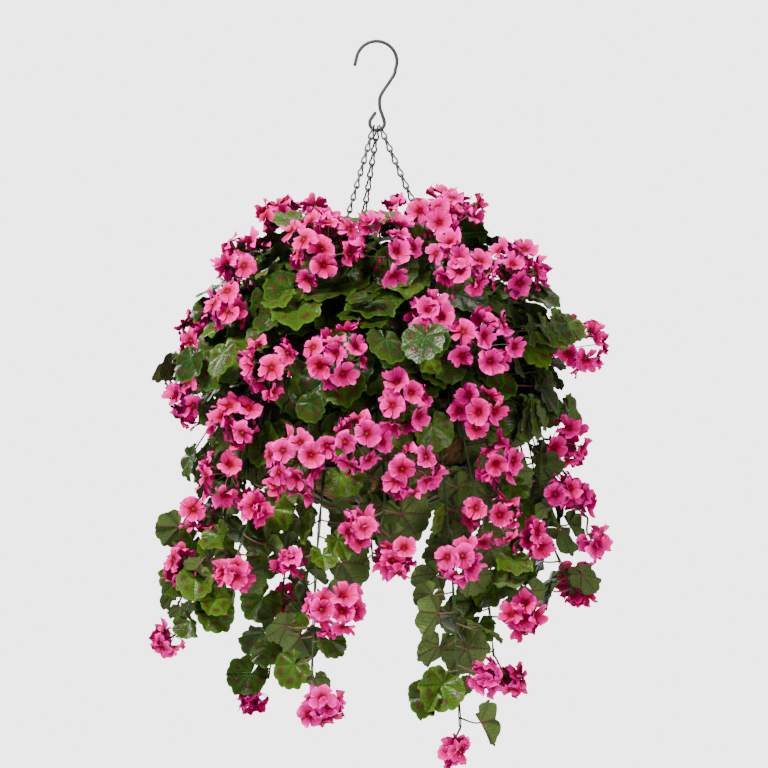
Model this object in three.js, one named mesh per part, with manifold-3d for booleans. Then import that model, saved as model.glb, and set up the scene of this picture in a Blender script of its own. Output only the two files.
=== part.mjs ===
// A hanging basket of trailing geraniums, in millimetres. +Z is up and -Y is the front.
// The origin is the seat of the hook: the inside of the top of its crook, where the bracket carries it.
//
// A bent wire hook carries three chains of twisted links. They hold the rim of a round wire basket with
// a coco liner, and the liner holds the growing medium. A bushy crown of leaves stands in the middle, its
// flower heads each on a stalk of their own, and stems of leaves and heads trail over the rim.
import * as THREE from "three";
import { mergeVertices } from "three/addons/utils/BufferGeometryUtils.js";
import Module from "manifold-3d";

const wasm = await Module();
wasm.setup();

// ---- Driving dimensions ----
const SEAT_GAP = 0.3; // clearance where one piece rests on another
const HOOK_WIRE = 1.8; // radius of the hook's wire
const CROOK_RADIUS = 27.5; // of the wire's centreline
const EYE_RADIUS = 10;
const EYE_CENTRE = [0.8, -108.5];
const LINK_WIRE = 0.95;
const LINK_PITCH = 18.3;
const LINK_HALF_WIDTH = 3.6;
const LINK_CROSSING = [1.5, 0.9]; // half width and half height of the solid where two links cross
// Chains: azimuth of the hook on the rim, and how far from the middle of the eye the first link hangs.
const CHAINS = { chain_right: [-10, 5.4], chain_left: [-130, -5.4], chain_back: [110, 0] };
const RIM_RADIUS = 175;
const RIM_HEIGHT = -492;
const BASKET_DEPTH = 142;
const BASKET_WIRE = 2.5;
const BASKET_SIDES = 20;
const RIB_COUNT = 10;
const BOWL_STEP = 22.5; // degrees of the bowl's profile between its corners
const LINER_STANDS_OFF = 3.5; // from the centreline of the basket's wires
const LINER_THICKNESS = 8;
const LINER_TOP = -480;
const MEDIUM_TOP = -497;
const CORE_PROFILE = [[94, -496.7], [98, -462], [86, -408], [64, -356], [36, -318]];
const CORE_TOP = -300;
const TRUNK_RADIUS = 12;
const TRUNK_DEPTH = 45;
const CROWN_CENTRE = -430; // height where the crown is widest
const CROWN_RADIUS = 250;
const CROWN_RISE = 222;
const STEM_RADIUS = 2.8;
const STALK_RADIUS = 1.7;
const STALK_ROOT_RADIUS = 1.1; // where a stalk leaves its stem
const STEM_ROOT_RADIUS = 138; // where the trailing stems stand in the medium
const STEM_ROOT_DEPTH = 36;
const HEAD_CORE = 0.5; // share of a head's radius that its core takes
const LEAF_RADIUS = 36;
const LEAF_THICKNESS = 2.4;
const LEAF_CLEARANCE = 6;
const HEAD_CLEARANCE = 3;
const CROWN_LEAVES = 104; // places that the rule tries, some of which have no room
const CROWN_HEADS_BEHIND = 13;

// Flower heads on the front of the crown: across, height, depth in front of the crown's own surface,
// radius, and how many florets it carries.
const CROWN_HEADS = [
  [-133, -235, -20, 33, 4],
  [-182, -298, 0, 34, 4],
  [-74, -281, 0, 46, 6],
  [17, -282, 0, 41, 6],
  [88, -240, 0, 37, 5],
  [108, -309, 10, 39, 5],
  [184, -311, 0, 39, 5],
  [-196, -359, 0, 32, 4],
  [70, -374, -25, 33, 4],
  [142, -406, 0, 41, 5],
  [266, -408, 0, 41, 5],
  [-139, -438, 0, 36, 4],
  [-52, -424, 0, 38, 5],
  [-250, -483, 0, 37, 5],
  [-186, -509, 0, 35, 4],
  [34, -487, 0, 34, 4],
  [131, -493, 0, 31, 3],
  [-106, -566, 0, 37, 5],
  [-29, -541, 0, 38, 5],
  [-203, -584, 0, 32, 4],
  [158, -560, 0, 33, 4],
  [251, -539, 0, 35, 4],
  [47, -577, 0, 33, 4],
  [148, -638, 0, 35, 4],
];

// Trailing stems: azimuth, how far out and how far down the tip hangs, how the stem sways on its way
// down in degrees, leaves, and heads as [share of the hanging part, side, radius, florets].
const TRAILS = [
  [-153, 292, -772, 4, 6, [[0.4, 1, 31, 4], [0.7, -1, 29, 3], [1, -1, 29, 3]]],
  [-141, 248, -704, 3, 4, [[0.5, 1, 30, 3], [0.97, 1, 30, 3]]],
  [-108, 262, -849, -2, 6, [[0.5, -1, 30, 3], [0.67, 1, 38, 5], [1, 1, 33, 4]]],
  [-90, 236, -656, 3, 4, [[0.8, -1, 34, 4], [1, 1, 32, 4]]],
  [-66, 262, -909, 2, 8, [[0.42, 1, 33, 4], [0.8, 1, 31, 3], [1, -1, 29, 3]]],
  [-43, 268, -735, -2, 5, [[0.62, 1, 32, 4], [1, -1, 30, 4]]],
  [-18, 292, -638, 3, 4, [[0.55, -1, 30, 3], [0.6, 1, 32, 4], [1, -1, 30, 3]]],
  [18, 284, -745, 2, 5, [[0.9, 1, 31, 3]]],
  [54, 268, -838, -3, 6, [[0.62, 1, 31, 3], [1, -1, 29, 3]]],
  [90, 260, -705, 3, 4, [[0.95, -1, 31, 3]]],
  [126, 262, -866, -3, 6, [[0.66, -1, 31, 3], [1, 1, 29, 3]]],
  [162, 284, -765, 2, 5, [[0.75, -1, 31, 3]]],
];

// ---- Small vector helpers ----
const UP = new THREE.Vector3(0, 0, 1);
const vec = (x, y, z) => new THREE.Vector3(x, y, z);
const rad = THREE.MathUtils.degToRad;
const polar = (radius, turn, z) => vec(radius * Math.cos(rad(turn)), radius * Math.sin(rad(turn)), z);
const mix = (...parts) => parts.reduce((sum, [v, share]) => sum.addScaledVector(v, share), vec(0, 0, 0));
const direction = (...parts) => mix(...parts).normalize();

// A repeatable random draw between 0 and 1.
let seed = 20417;
function draw() {
  seed = (seed * 1664525 + 1013904223) % 4294967296;
  return seed / 4294967296;
}

// ---- Solids ----
function solid(geometry) {
  const bare = new THREE.BufferGeometry().setAttribute("position", geometry.getAttribute("position"));
  if (geometry.index) bare.setIndex(geometry.index);
  const merged = mergeVertices(bare, 1e-3);
  return new wasm.Manifold(
    new wasm.Mesh({
      numProp: 3,
      vertProperties: new Float32Array(merged.attributes.position.array),
      triVerts: new Uint32Array(merged.index.array),
    }),
  );
}

function geometryOf(body) {
  const mesh = body.getMesh();
  const corners = new Float32Array(mesh.numVert * 3);
  for (let i = 0; i < mesh.numVert; i++) {
    corners.set(mesh.vertProperties.subarray(i * mesh.numProp, i * mesh.numProp + 3), i * 3);
  }
  const geometry = new THREE.BufferGeometry();
  geometry.setAttribute("position", new THREE.BufferAttribute(corners, 3));
  geometry.setIndex(new THREE.BufferAttribute(new Uint32Array(mesh.triVerts), 1));
  return geometry;
}

const joined = (bodies) => bodies.reduce((sum, body) => sum.add(body));

// The largest body of a solid whose thin edges may have shed a scrap.
function mainBody(body) {
  return body.decompose().reduce((best, one) => (one.volume() > best.volume() ? one : best));
}

function facets(corners, triangles) {
  const geometry = new THREE.BufferGeometry();
  const flat = triangles.flatMap((triangle) => triangle.flatMap((i) => corners[i].toArray()));
  geometry.setAttribute("position", new THREE.Float32BufferAttribute(flat, 3));
  return geometry;
}

// The three-sided or many-sided skin between two rings of corners, given by their numbers.
function band(a, b) {
  const next = (ring, k) => ring[(k + 1) % ring.length];
  return a.flatMap((corner, k) => [[corner, next(a, k), next(b, k)], [corner, next(b, k), b[k]]]);
}

// A wire of a few flat sides along a line of points.
function wire(points, radius, sides, firstRadius = radius) {
  const corners = [];
  let normal = null;
  const rings = points.map((point, i) => {
    const before = i ? direction([point, 1], [points[i - 1], -1]) : vec(0, 0, 0);
    const after = i < points.length - 1 ? direction([points[i + 1], 1], [point, -1]) : vec(0, 0, 0);
    const tangent = direction([before, 1], [after, 1]);
    if (!normal) normal = Math.abs(tangent.x) < 0.8 ? vec(1, 0, 0) : vec(0, 1, 0);
    normal = normal.clone().projectOnPlane(tangent).normalize();
    const over = tangent.clone().cross(normal);
    return Array.from({ length: sides }, (_, k) => {
      const a = (2 * Math.PI * k) / sides;
      const wide = i ? radius : firstRadius;
      return corners.push(mix([point, 1], [normal, wide * Math.cos(a)], [over, wide * Math.sin(a)])) - 1;
    });
  });
  const triangles = rings.slice(1).flatMap((ring, i) => band(rings[i], ring));
  const last = rings.at(-1);
  for (let k = 1; k < sides - 1; k++) triangles.push([0, k + 1, k], [last[0], last[k], last[k + 1]]);
  return facets(corners, triangles);
}

// A solid of revolution about the Z axis from a profile of [radius, height] that ends on the axis.
function turned(profile, segments) {
  const points = profile.map(([r, z]) => new THREE.Vector2(r, z));
  return new THREE.LatheGeometry(points, segments).rotateX(Math.PI / 2);
}

// ---- Hook ----
function arc([x, z], radius, from, to, steps) {
  const turn = (i) => rad(from + ((to - from) * i) / steps);
  const place = (_, i) => vec(x + radius * Math.cos(turn(i)), 0, z + radius * Math.sin(turn(i)));
  return Array.from({ length: steps + 1 }, place);
}

function hookPath() {
  return [
    vec(-29.4, 0, -30.6),
    ...arc([0, HOOK_WIRE - CROOK_RADIUS], CROOK_RADIUS, 158, -22, 13),
    vec(24.6, 0, -41.5),
    vec(6.6, 0, -69.5),
    vec(4.4, 0, -75.5),
    vec(4.6, 0, -88),
    vec(8, 0, -98.5),
    ...arc(EYE_CENTRE, EYE_RADIUS, 18, -198, 12),
    vec(-1.6, 0, -94.6),
  ];
}

// ---- Chains ----
// A link's pointed end needs this much room past the middle of a round wire that it hangs on.
const linkReach = (radius) => LINK_CROSSING[1] + (radius + SEAT_GAP + 0.2) / 0.66;

// The rim is a ring of straight facets, so its middle is a little nearer between its corners.
function rimRadiusAt(azimuth) {
  const facet = 360 / BASKET_SIDES;
  const offset = azimuth - facet * (Math.floor(azimuth / facet) + 0.5);
  return (RIM_RADIUS * Math.cos(rad(facet / 2))) / Math.cos(rad(offset));
}

function chainEnds([azimuth, side]) {
  const lift = EYE_RADIUS - Math.sqrt(EYE_RADIUS ** 2 - side ** 2);
  const top = vec(EYE_CENTRE[0] + side, 0, EYE_CENTRE[1] - EYE_RADIUS + lift);
  const bottom = polar(rimRadiusAt(azimuth), azimuth, RIM_HEIGHT);
  const down = direction([bottom, 1], [top, -1]);
  return {
    top: top.addScaledVector(down, -linkReach(HOOK_WIRE)),
    bottom: bottom.addScaledVector(down, linkReach(BASKET_WIRE)),
    down,
  };
}

// A link is a loop of wire whose two eyes stand at right angles, so that all links hang alike. Two links
// cross in a small four-sided solid, and each of its faces is where one of their wires leaves.
function chain([azimuth, side]) {
  const { top, bottom, down } = chainEnds([azimuth, side]);
  const across = vec(0, 1, 0).projectOnPlane(down).normalize();
  const over = down.clone().cross(across);
  const facing = (turn) => mix([across, Math.cos(turn)], [over, Math.sin(turn)]);
  const rimEye = polar(1, azimuth + 90, 0).cross(down);
  let twist = Math.atan2(-rimEye.dot(across), rimEye.dot(over));
  if (Math.abs(twist) > Math.PI / 2) twist -= Math.sign(twist) * Math.PI;
  const length = top.distanceTo(bottom);
  const count = Math.round(length / LINK_PITCH);
  const corners = [];
  const triangles = [];
  const crossings = Array.from({ length: count + 1 }, (_, i) => {
    const turn = (twist * i) / count;
    const middle = mix([top, 1], [down, (length * i) / count]);
    const ends = [[-1, turn], [1, turn + Math.PI / 2]].flatMap(([drop, angle]) =>
      [1, -1].map((flank) => {
        const [wide, high] = LINK_CROSSING;
        return corners.push(mix([middle, 1], [down, drop * high], [facing(angle), flank * wide])) - 1;
      }),
    );
    return { turn, middle, ends };
  });
  for (let i = 0; i < count; i++) {
    const [{ turn, middle, ends: from }, { turn: nextTurn, ends: to }] = crossings.slice(i, i + 2);
    for (const flank of [1, -1]) {
      const rings = [0.25, 0.75].map((along) => {
        const angle = THREE.MathUtils.lerp(turn, nextTurn + Math.PI / 2, along * along * (3 - 2 * along));
        const wide = mix([down, (along * length) / count], [facing(angle), flank * LINK_HALF_WIDTH]);
        const place = wide.add(middle);
        return [-120, 0, 120].map((a) => {
          const spoke = facing(angle + rad(a) + (flank < 0 ? Math.PI : 0));
          return corners.push(mix([place, 1], [spoke, LINK_WIRE])) - 1;
        });
      });
      const start = flank > 0 ? [from[3], from[0], from[2]] : [from[2], from[1], from[3]];
      const end = flank > 0 ? [to[0], to[2], to[1]] : [to[1], to[3], to[0]];
      // The wire twists by about 60 degrees here, and its facets' diagonals run the short way round it.
      const [a, b, c] = rings[1];
      triangles.push(...band(start, rings[0]), ...band(rings[0], [c, a, b]), ...band(rings[1], end));
    }
  }
  const [first, last] = [crossings[0].ends, crossings[count].ends];
  triangles.push([first[1], first[2], first[0]], [first[0], first[3], first[1]]);
  triangles.push([last[3], last[0], last[2]], [last[2], last[1], last[3]]);
  return solid(facets(corners, triangles));
}

// ---- Basket, liner and medium ----
const bowlPoint = (inset, degrees) => [
  (RIM_RADIUS - inset) * Math.cos(rad(degrees)),
  RIM_HEIGHT - (BASKET_DEPTH - inset) * Math.sin(rad(degrees)),
];

function hoop(degrees, sides) {
  const [radius, height] = bowlPoint(0, degrees);
  return new THREE.TorusGeometry(radius, BASKET_WIRE, sides, BASKET_SIDES).translate(0, 0, height);
}

function rib(azimuth) {
  const points = [0, 1, 2, 3].map((step) => {
    const [radius, height] = bowlPoint(0, step * BOWL_STEP);
    return polar(radius, azimuth, height);
  });
  return wire(points, BASKET_WIRE * 0.9, 3);
}

function wireBasket() {
  const hoops = [hoop(0, 4), hoop(1.5 * BOWL_STEP, 3), hoop(3 * BOWL_STEP, 3)];
  const ribs = Array.from({ length: RIB_COUNT }, (_, i) => rib((360 * i) / RIB_COUNT));
  return joined([...hoops, ...ribs].map(solid));
}

function bowlProfile(inset) {
  const profile = [];
  for (let a = 90; a >= 0; a -= BOWL_STEP) profile.push(bowlPoint(inset, a));
  profile[0][0] = 0;
  return profile;
}

// The liner's edge is nicked where each chain hooks the rim.
function coconutLiner() {
  const inner = LINER_STANDS_OFF + LINER_THICKNESS;
  const profile = [
    ...bowlProfile(LINER_STANDS_OFF),
    [RIM_RADIUS - LINER_STANDS_OFF, LINER_TOP],
    [RIM_RADIUS - inner, LINER_TOP],
    ...bowlProfile(inner).reverse(),
  ];
  const nicks = Object.values(CHAINS).map(([azimuth]) => {
    const nick = new THREE.BoxGeometry(26, 15, 44).rotateZ(rad(azimuth));
    const place = polar(RIM_RADIUS - inner + 6, azimuth, MEDIUM_TOP - 3 + 22);
    return solid(nick.translate(place.x, place.y, place.z));
  });
  return nicks.reduce((body, nick) => body.subtract(nick), solid(turned(profile, BASKET_SIDES)));
}

function growingMedium() {
  const inset = LINER_STANDS_OFF + LINER_THICKNESS + SEAT_GAP + 0.1;
  const profile = bowlProfile(inset);
  const [[rimRadius, rimHeight], [lowRadius, lowHeight]] = [profile.pop(), profile.at(-1)];
  const topRadius = THREE.MathUtils.mapLinear(MEDIUM_TOP, lowHeight, rimHeight, lowRadius, rimRadius);
  let block = solid(turned([...profile, [topRadius, MEDIUM_TOP], [0, MEDIUM_TOP]], BASKET_SIDES));
  const stem = { radius: STEM_RADIUS, sides: 6, depth: STEM_ROOT_DEPTH };
  const holes = TRAILS.map(([azimuth]) => ({ ...stem, place: polar(STEM_ROOT_RADIUS, azimuth, 0) }));
  holes.push({ radius: TRUNK_RADIUS, sides: 8, depth: TRUNK_DEPTH, place: vec(0, 0, 0) });
  for (const { place, radius, sides, depth } of holes) {
    const wide = (radius + SEAT_GAP) / Math.cos(Math.PI / sides);
    const drill = new THREE.CylinderGeometry(wide, wide, depth + 10, sides).rotateX(Math.PI / 2);
    drill.translate(place.x, place.y, MEDIUM_TOP - SEAT_GAP - depth / 2 + 5);
    block = block.subtract(solid(drill));
  }
  return block;
}

// ---- Where the plant grows: stems, heads and leaves that keep clear of one another ----
const balls = []; // flower heads
const rods = []; // chains, stems and stalks
const discs = []; // leaves

function onSegment(point, a, b) {
  const along = b.clone().sub(a);
  const share = THREE.MathUtils.clamp(point.clone().sub(a).dot(along) / along.lengthSq(), 0, 1);
  return a.clone().addScaledVector(along, share);
}

function rodToRod(one, other) {
  let least = Infinity;
  for (let i = 0; i <= 8; i++) {
    const point = one.a.clone().lerp(one.b, i / 8);
    least = Math.min(least, point.distanceTo(onSegment(point, other.a, other.b)));
  }
  return least - one.radius - other.radius;
}

function ballToRod(ball, one) {
  return ball.centre.distanceTo(onSegment(ball.centre, one.a, one.b)) - ball.radius - one.radius;
}

function pointToDisc(point, disc) {
  const out = point.clone().sub(disc.centre);
  const height = out.dot(disc.normal);
  const wide = Math.sqrt(Math.max(0, out.lengthSq() - height * height));
  return Math.hypot(height, Math.max(0, wide - disc.radius));
}

function rodToDisc(one, disc) {
  let least = Infinity;
  let before = null;
  for (let i = 0; i <= 10; i++) {
    const point = one.a.clone().lerp(one.b, i / 10);
    least = Math.min(least, pointToDisc(point, disc));
    const side = Math.sign(point.clone().sub(disc.centre).dot(disc.normal));
    if (before && before.side !== side && point.distanceTo(disc.centre) < disc.radius + 12) {
      const middle = point.clone().add(before.point).multiplyScalar(0.5);
      if (middle.distanceTo(disc.centre) < disc.radius) return -1;
    }
    before = { point, side };
  }
  return least - one.radius;
}

// Points on a disc: its middle and two rings.
function discPoints(disc) {
  const one = disc.tip;
  const other = disc.normal.clone().cross(one);
  const points = [disc.centre];
  for (const [share, count] of [[0.5, 5], [1, 9]]) {
    for (let i = 0; i < count; i++) {
      const a = (2 * Math.PI * i) / count;
      const reach = disc.radius * share;
      points.push(mix([disc.centre, 1], [one, reach * Math.cos(a)], [other, reach * Math.sin(a)]));
    }
  }
  return points;
}

function discsCross(one, other) {
  const line = one.normal.clone().cross(other.normal);
  if (line.length() < 0.05) return false;
  line.normalize();
  const toLine = line.clone().cross(one.normal);
  const step = other.centre.clone().sub(one.centre).dot(other.normal) / toLine.dot(other.normal);
  const foot = one.centre.clone().addScaledVector(toLine, step);
  const along = other.centre.clone().sub(foot).dot(line);
  const off = other.centre.distanceTo(foot.clone().addScaledVector(line, along));
  if (Math.abs(step) > one.radius || off > other.radius) return false;
  const halves = Math.sqrt(one.radius ** 2 - step ** 2) + Math.sqrt(other.radius ** 2 - off ** 2);
  return Math.abs(along) < halves;
}

function discToDisc(one, other) {
  if (discsCross(one, other)) return -1;
  const near = (points, disc) => Math.min(...points.map((point) => pointToDisc(point, disc)));
  return Math.min(near(discPoints(one), other), near(discPoints(other), one));
}

function ballIsClear(ball, node) {
  return (
    balls.every((b) => b.centre.distanceTo(ball.centre) > b.radius + ball.radius + HEAD_CLEARANCE) &&
    rods.every((r) => r.node === node || ballToRod(ball, r) > HEAD_CLEARANCE) &&
    discs.every((d) => pointToDisc(ball.centre, d) > ball.radius + HEAD_CLEARANCE)
  );
}

// How far a point stands outside the basket and what sits on its rim.
function outsideBasket(point) {
  const radius = Math.hypot(point.x, point.y);
  if (point.z > LINER_TOP) return Math.max(point.z - LINER_TOP, radius - RIM_RADIUS);
  if (point.z > RIM_HEIGHT) return radius - RIM_RADIUS;
  return (Math.hypot(radius / RIM_RADIUS, (point.z - RIM_HEIGHT) / BASKET_DEPTH) - 1) * BASKET_DEPTH;
}

// A stalk has room if it keeps off the basket, or stays above the medium inside it.
function keepsOffBasket(point, gap) {
  const inside = point.z > MEDIUM_TOP + gap && Math.hypot(point.x, point.y) < RIM_RADIUS - 16 - gap;
  return inside || outsideBasket(point) > gap;
}

function rodIsClear(one, node) {
  const places = [0, 0.2, 0.4, 0.6, 0.8, 1].map((share) => one.a.clone().lerp(one.b, share));
  return (
    places.every((place) => keepsOffBasket(place, one.radius + HEAD_CLEARANCE)) &&
    balls.every((b) => b === one.head || ballToRod(b, one) > HEAD_CLEARANCE) &&
    rods.every((r) => r.node === node || rodToRod(one, r) > HEAD_CLEARANCE) &&
    discs.every((d) => d.node === node || rodToDisc(one, d) > LEAF_CLEARANCE)
  );
}

function discIsClear(disc) {
  const close = (centre, reach) => centre.distanceTo(disc.centre) < disc.radius + reach;
  const keepsOff = (ball) => pointToDisc(ball.centre, disc) > ball.radius + HEAD_CLEARANCE + 2;
  return (
    balls.every((b) => !close(b.centre, b.radius + 10) || keepsOff(b)) &&
    rods.every((r) => rodToDisc(r, disc) > (r.node === disc.node ? 1.5 : LEAF_CLEARANCE)) &&
    discs.every((d) => !close(d.centre, d.radius + 10) || discToDisc(disc, d) > LEAF_CLEARANCE) &&
    discPoints(disc).every((point) => outsideBasket(point) > 8)
  );
}

// The radius of the crown at a height.
function crownRadius(z) {
  if (z <= CROWN_CENTRE) return CROWN_RADIUS;
  return CROWN_RADIUS * Math.sqrt(Math.max(0.02, 1 - ((z - CROWN_CENTRE) / CROWN_RISE) ** 2));
}

function coreRadius(z) {
  for (let i = 1; i < CORE_PROFILE.length; i++) {
    const [[r0, z0], [r1, z1]] = [CORE_PROFILE[i - 1], CORE_PROFILE[i]];
    if (z <= z1) return THREE.MathUtils.mapLinear(Math.max(z, z0), z0, z1, r0, r1);
  }
  return 0;
}

// Where a stalk that serves a place on the crown leaves the core.
function coreRoot(place, drop) {
  const z = THREE.MathUtils.clamp(place.z - drop, -468, -322);
  const out = vec(place.x, place.y, 0).normalize();
  return out.multiplyScalar(coreRadius(z) - 9).setZ(z);
}

const segments = (points, extra) => points.slice(1).map((b, i) => ({ a: points[i], b, ...extra }));

// A point on a trailing stem at a share of its way from below the rim to its tip.
function hangingPoint(points, share) {
  const step = ARCH_POINTS + Math.min(share, 0.9999) * TRAIL_STEPS;
  return points[Math.floor(step)].clone().lerp(points[Math.floor(step) + 1], step % 1);
}

// Chains take their room first.
for (const row of Object.values(CHAINS)) {
  const { top, bottom } = chainEnds(row);
  const points = Array.from({ length: 11 }, (_, i) => top.clone().lerp(bottom, i / 10));
  rods.push(...segments(points, { radius: LINK_HALF_WIDTH + LINK_WIRE, node: "chain" }));
}

// Trailing stems stand straight in the medium, arch over the rim and hang.
const ARCH_POINTS = 4;
const TRAIL_STEPS = 6;

function trailPath([azimuth, reach, tip, sway]) {
  const arch = [
    polar(STEM_ROOT_RADIUS, azimuth, MEDIUM_TOP + 4),
    polar(STEM_ROOT_RADIUS + 10, azimuth, LINER_TOP + 9),
    polar(RIM_RADIUS - 5, azimuth, LINER_TOP + 15),
    polar(RIM_RADIUS + 15, azimuth, LINER_TOP + 3),
  ];
  const hanging = [
    polar(RIM_RADIUS + 23, azimuth + sway * 0.3, LINER_TOP - 36),
    polar((RIM_RADIUS + 24 + reach) / 2, azimuth + sway, (LINER_TOP - 70 + tip) / 2),
    polar(reach, azimuth + sway * 0.4, tip),
  ];
  const curve = new THREE.CatmullRomCurve3(hanging, false, "centripetal");
  return [...arch, ...curve.getSpacedPoints(TRAIL_STEPS)];
}

const trails = TRAILS.map((row, index) => {
  const node = `trailing_stem_${String(index + 1).padStart(2, "0")}`;
  const path = trailPath(row);
  rods.push(...segments(path, { radius: STEM_RADIUS, node }));
  return { node, path, row, heads: [], leaves: [] };
});

// Heads on the crown: those in front as listed, then a rule for the sides and the back.
function crownHead(centre, radius, florets) {
  const axis = direction([vec(centre.x, centre.y, 0).normalize(), 0.85], [UP, (centre.z + 500) / 260]);
  return { centre, radius, florets, axis };
}

// A head moves outwards, away from what is in its way.
function settle(head) {
  const out = vec(head.centre.x, head.centre.y, 0).normalize();
  for (let step = 0; step < 12; step++) {
    if (ballIsClear(head)) return true;
    head.centre.addScaledVector(out, 3);
  }
  return false;
}

const crownHeads = [];
for (const [x, z, forward, radius, florets] of CROWN_HEADS) {
  const rim = crownRadius(z);
  const y = -Math.sqrt(Math.max(0, rim * rim - x * x)) - forward;
  const head = crownHead(vec(x, y, z), radius, florets);
  if (!settle(head)) continue;
  balls.push(head);
  crownHeads.push(head);
}
for (let i = 0; i < CROWN_HEADS_BEHIND; i++) {
  const z = -228 - (i % 5) * 76 - draw() * 24;
  const azimuth = 2 + ((i + 0.5) * 172) / CROWN_HEADS_BEHIND + (draw() - 0.5) * 8;
  const radius = 32 + draw() * 9;
  const head = crownHead(polar(crownRadius(z) * 0.98, azimuth, z), radius, radius > 37 ? 5 : 4);
  if (!settle(head)) continue;
  balls.push(head);
  crownHeads.push(head);
}

// The stalk of a head ends under its calyxes, square to them. One low on the crown bends over the rim.
// To find room, a high stalk leaves the core a little to one side, and a low one bends there.
function stalkPath({ centre, radius, axis }, drop, shift) {
  const under = (gap) => mix([centre, 1], [axis, -(0.795 * HEAD_CORE * radius + gap)]);
  const ends = [under(12), under(SEAT_GAP)];
  if (centre.z > LINER_TOP) return [coreRoot(centre, drop).applyAxisAngle(UP, rad(shift)), ...ends];
  const azimuth = THREE.MathUtils.radToDeg(Math.atan2(centre.y, centre.x));
  const knee = polar(RIM_RADIUS + 14, azimuth + shift, LINER_TOP + 16);
  return [coreRoot(centre.clone().setZ(-395), drop), knee, ...ends];
}

for (const head of crownHeads) {
  const shifts = head.centre.z > LINER_TOP ? [0, 25, -25, 50, -50] : [0, 5, -5, 10, -10, 16, -16];
  const drops = [40, 20, 70, 0, 100, -30, 130, -60, 160, -90];
  let own = [];
  for (const [drop, shift] of drops.flatMap((one) => shifts.map((other) => [one, other]))) {
    head.stalk = stalkPath(head, drop, shift);
    own = segments(head.stalk, { radius: STALK_RADIUS, node: "crown_foliage", head });
    if (own.every((one) => rodIsClear(one, "crown_foliage"))) break;
  }
  rods.push(...own);
}

// Heads on a trailing stem hang from it on a short stalk, at the first angle with room.
for (const trail of trails) {
  for (const [share, side, radius, florets] of trail.row[5]) {
    const start = hangingPoint(trail.path, share);
    const out = vec(start.x, start.y, 0).normalize();
    const aside = UP.clone().cross(out);
    const fall = share === 1 ? 1.3 : 0.35;
    for (let turn = 0; turn < 12; turn++) {
      const swing = side * (50 + (turn % 2 ? -1 : 1) * Math.ceil(turn / 2) * 28);
      const away = direction([out, Math.cos(rad(swing))], [aside, Math.sin(rad(swing))], [UP, -fall]);
      const centre = start.clone().addScaledVector(away, radius * 1.25 + 8);
      const head = { centre, radius, florets, axis: direction([away, 1], [out, 0.5]), root: start };
      const stalk = { a: start, b: centre, radius: STALK_RADIUS, node: trail.node, head };
      if (!ballIsClear(head, trail.node) || !rodIsClear(stalk, trail.node)) continue;
      balls.push(head);
      trail.heads.push(head);
      rods.push(stalk);
      break;
    }
  }
}

// A leaf hangs on a stalk that meets it at the bottom of its notch.
function leafAt(joint, tip, facing, radius, node) {
  const normal = facing.clone().projectOnPlane(tip).normalize();
  const centre = joint.clone().addScaledVector(tip, 0.3 * radius);
  return { joint, tip, normal, centre, radius, node };
}

// Trailing leaves alternate along the stem, and mostly show their undersides.
for (const trail of trails) {
  const count = trail.row[4];
  for (let i = 0; i < count; i++) {
    const share = (0.92 * (i + 0.4)) / count;
    const size = LEAF_RADIUS * (0.84 + 0.3 * draw() + (i < 2 ? 0.12 : 0));
    const lean = draw();
    const shown = draw() < 0.7 ? -1 : 1;
    const start = hangingPoint(trail.path, share);
    const out = vec(start.x, start.y, 0).normalize();
    const aside = UP.clone().cross(out);
    for (let turn = 0; turn < 28; turn++) {
      const side = (i + turn) % 2 ? 1 : -1;
      const radius = size * (turn < 14 ? 1 : 0.84);
      const spread = 24 * Math.floor((turn % 14) / 2) * (turn % 4 < 2 ? 1 : -1);
      const swing = rad(side * (62 + 16 * lean + spread));
      const away = direction([out, Math.cos(swing)], [aside, Math.sin(swing)], [UP, 0.1 - 0.3 * lean]);
      const joint = start.clone().addScaledVector(away, 24 + 8 * lean).addScaledVector(out, shown * 4);
      const tip = direction([away, 0.8], [UP, -0.55 - 0.5 * lean]);
      const leaf = leafAt(joint, tip, direction([out, shown], [UP, 0.5]), radius, trail.node);
      if (!discIsClear(leaf)) continue;
      const stalk = { a: start, b: joint, radius: STALK_RADIUS, node: trail.node };
      if (!rodIsClear(stalk, trail.node)) continue;
      discs.push(leaf);
      rods.push(stalk);
      trail.leaves.push({ ...leaf, root: start });
      break;
    }
  }
}

// Crown leaves follow a spiral down the crown and settle inwards until they are clear.
const crownLeaves = [];
for (let i = 0; i < CROWN_LEAVES; i++) {
  const share = (i + 0.5) / CROWN_LEAVES;
  const z = -216 - 298 * share ** 0.76;
  const turnDraw = draw();
  const tiltDraw = draw();
  const size = LEAF_RADIUS * (0.84 + 0.34 * draw());
  const azimuth = (i * 137.508 + (turnDraw - 0.5) * 10) % 360;
  for (let attempt = 0; attempt < 24; attempt++) {
    const inward = (attempt % 8) * 9;
    const shift = [0, 9, -9][Math.floor(attempt / 8)];
    const joint = polar(Math.max(20, crownRadius(z) - 20 - inward), azimuth + shift, z - inward * 0.25);
    const out = polar(1, azimuth + shift, 0);
    const aside = UP.clone().cross(out);
    const steep = THREE.MathUtils.clamp((z - CROWN_CENTRE + 60) / CROWN_RISE, 0, 0.9);
    const tip = direction([out, 0.35 + steep], [UP, -0.75 + steep * 0.5], [aside, (turnDraw - 0.5) * 1.2]);
    const facing = direction([out, 1 - 0.5 * steep], [UP, 0.55 + steep], [aside, (tiltDraw - 0.5) * 0.7]);
    const leaf = leafAt(joint, tip, facing, size, "crown_foliage");
    if (!discIsClear(leaf)) continue;
    const root = coreRoot(joint, joint.z > -440 ? 40 : -30);
    const end = joint.clone().addScaledVector(leaf.normal, -3);
    const stalk = { a: root, b: end, radius: STALK_RADIUS, node: leaf.node };
    if (!rodIsClear(stalk, leaf.node)) continue;
    discs.push(leaf);
    rods.push(stalk);
    crownLeaves.push({ ...leaf, root });
    break;
  }
}

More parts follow.
